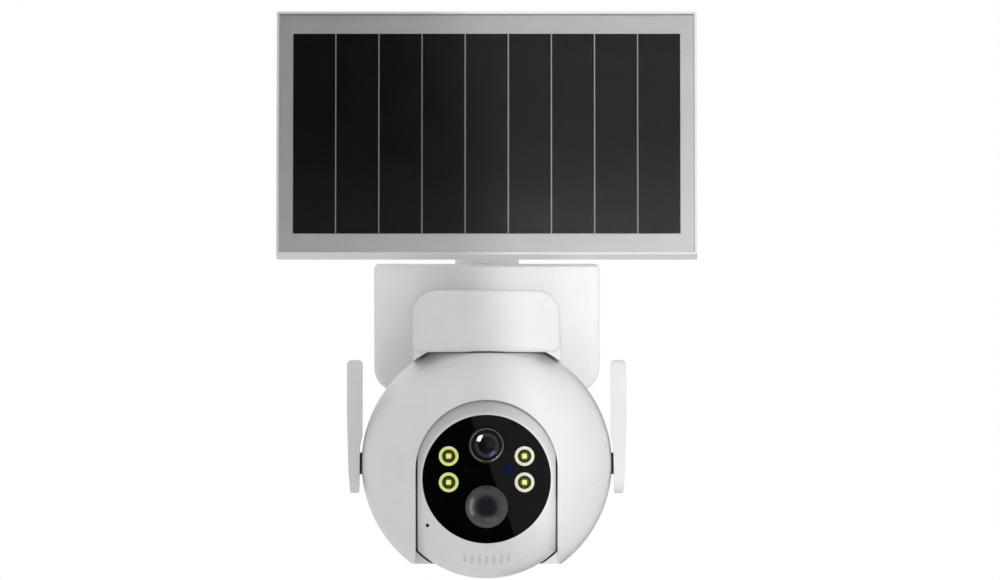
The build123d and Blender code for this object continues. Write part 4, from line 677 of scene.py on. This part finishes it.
flag.matrix_world = (Matrix.Translation((FLAG_EDGE, BALL.y - FLAG_AWAY, FLAG_AWAY * tan(KEY_DOWN)))
                     @ Matrix.Rotation(-FLAG_ROLL, 4, "Y"))
flag.visible_camera = flag.visible_diffuse = flag.visible_glossy = flag.visible_transmission = False
only_seen_by(key, shown_pieces)

# light from behind, above and left, which shapes the sides and back
BACK_AWAY = Vector((-1.6, 1.9, 1.5))
back_light = panel_light("back_light", BALL + BACK_AWAY, BALL, (1.2, 1.2), 17.0, gloss=False)
only_seen_by(back_light, shown_pieces)

# fill from low in front, nearer than the flag, which opens up the gaps
FILL_PLACE = Vector((0.0, BALL.y - 0.85, -0.3))
front_fill = panel_light("front_fill", FILL_PLACE, BALL, (0.25, 0.25), 2.0, gloss=False)
only_seen_by(front_fill, shown_pieces)

CARD_AWAY = 1.2
FAR = 1 + CARD_AWAY / AWAY    # how much wider the mirrored view is at the cards


def card(name, face, towards_card, corner, roll, size, radiance, seen_in, tint=(1, 1, 1)):
    """Softly lit card that only some pieces mirror. Its left edge passes through corner, which is its place
    right of and above the face's middle in the mirrored view."""
    away = Vector(towards_card).normalized()
    right = Vector((1, 0, 0))
    up = away.cross(right).normalized()
    turned_right = right * cos(radians(roll)) + up * sin(radians(roll))
    place = face + away * CARD_AWAY + right * corner[0] + up * corner[1] + turned_right * size[0] / 2
    power = radiance * pi * size[0] * size[1]
    lamp = panel_light(name, place, place - away, size, power, roll=roll, diffuse=False, tint=tint)
    only_seen_by(lamp, seen_in)


# cards for the panel: a rolled edge across its cells, and a paler strip along the foot of its border
PANEL_FACE = middle("panel_glass")
PANEL_MIRROR = Vector((0, -cos(radians(30)), sin(radians(30))))     # what the leaning panel mirrors
PANEL_PARTS = ["panel_glass", "panel_backsheet", "solar_cells", "busbars"]
card("panel_card", PANEL_FACE, PANEL_MIRROR, (-3.4 * MM * FAR, 0.0), 9.8, (1.2, 1.6), 0.76, PANEL_PARTS)
NEARER = 0.05                 # the strip's cards hang in front of the other one
STRIP_W, STRIP_H = 1.2, 0.6
STRIP_X, STRIP_TOP = 2 * MM, -17 * MM * FAR
strip_face = PANEL_FACE - PANEL_MIRROR * NEARER
for name, left, radiance in (("panel_low_left_card", STRIP_X - STRIP_W, 0.3),
                             ("panel_low_right_card", STRIP_X, 1.0)):
    card(name, strip_face, PANEL_MIRROR, (left, STRIP_TOP - STRIP_H / 2), 0, (STRIP_W, STRIP_H), radiance,
         PANEL_PARTS)

# fill for the housing, which lies in the panel's and the arm's shade
HOUSING_FILL_PLACE = Vector((0.0, -0.85, -0.05))
housing_fill = panel_light("housing_fill", HOUSING_FILL_PLACE, BALL, (0.6, 0.6), 1.5, gloss=False)
only_seen_by(housing_fill, ["housing_shell", "panel_neck", "swivel_base"])

# card for the face window, whose rolled edge crosses it
card("window_card", WINDOW, (0, -1, 0), (-0.7 * MM * FAR, 0.0), 20.4, (1.0, 1.0), 0.25,
     ["face_window", "lens_glass"])

# small cards for the lens and the motion sensor's dome, each middle on the line towards it
for name, face, towards_card, size, radiance, seen_in, tint in (
        ("lens_card", LENS, (-0.566, -0.552, 0.611), (0.5, 0.8), 26.0, ["lens_glass"], (1, 1, 1)),
        ("lens_blue_card", LENS, (0.602, -0.345, -0.72), (1.0, 0.7), 5.0, ["lens_glass", lens_inner],
         (0.2, 0.35, 1)),
        ("dome_left_card", PIR, (-0.943, -0.33, 0.0), (0.35, 1.4), 2.6, ["pir_lens"], (0.88, 0.98, 1)),
        ("dome_low_card", PIR, (0.25, -0.5, -0.83), (1.2, 0.5), 0.5, ["pir_lens"], (0.95, 0.97, 1))):
    card(name, face, towards_card, (-size[0] / 2, 0.0), 0, size, radiance, seen_in, tint)

# ---------------------------------------------------------------- camera

camera_data = bpy.data.cameras.new("camera")
camera_data.lens = camera_data.sensor_width * AWAY / VIEW_WIDTH
camera = bpy.data.objects.new("camera", camera_data)
camera.location = (VIEW_X, BALL.y - AWAY, VIEW_Z)
camera.rotation_euler = (pi / 2, 0, 0)
scene.collection.objects.link(camera)
scene.camera = camera
scene.view_settings.view_transform = "Standard"
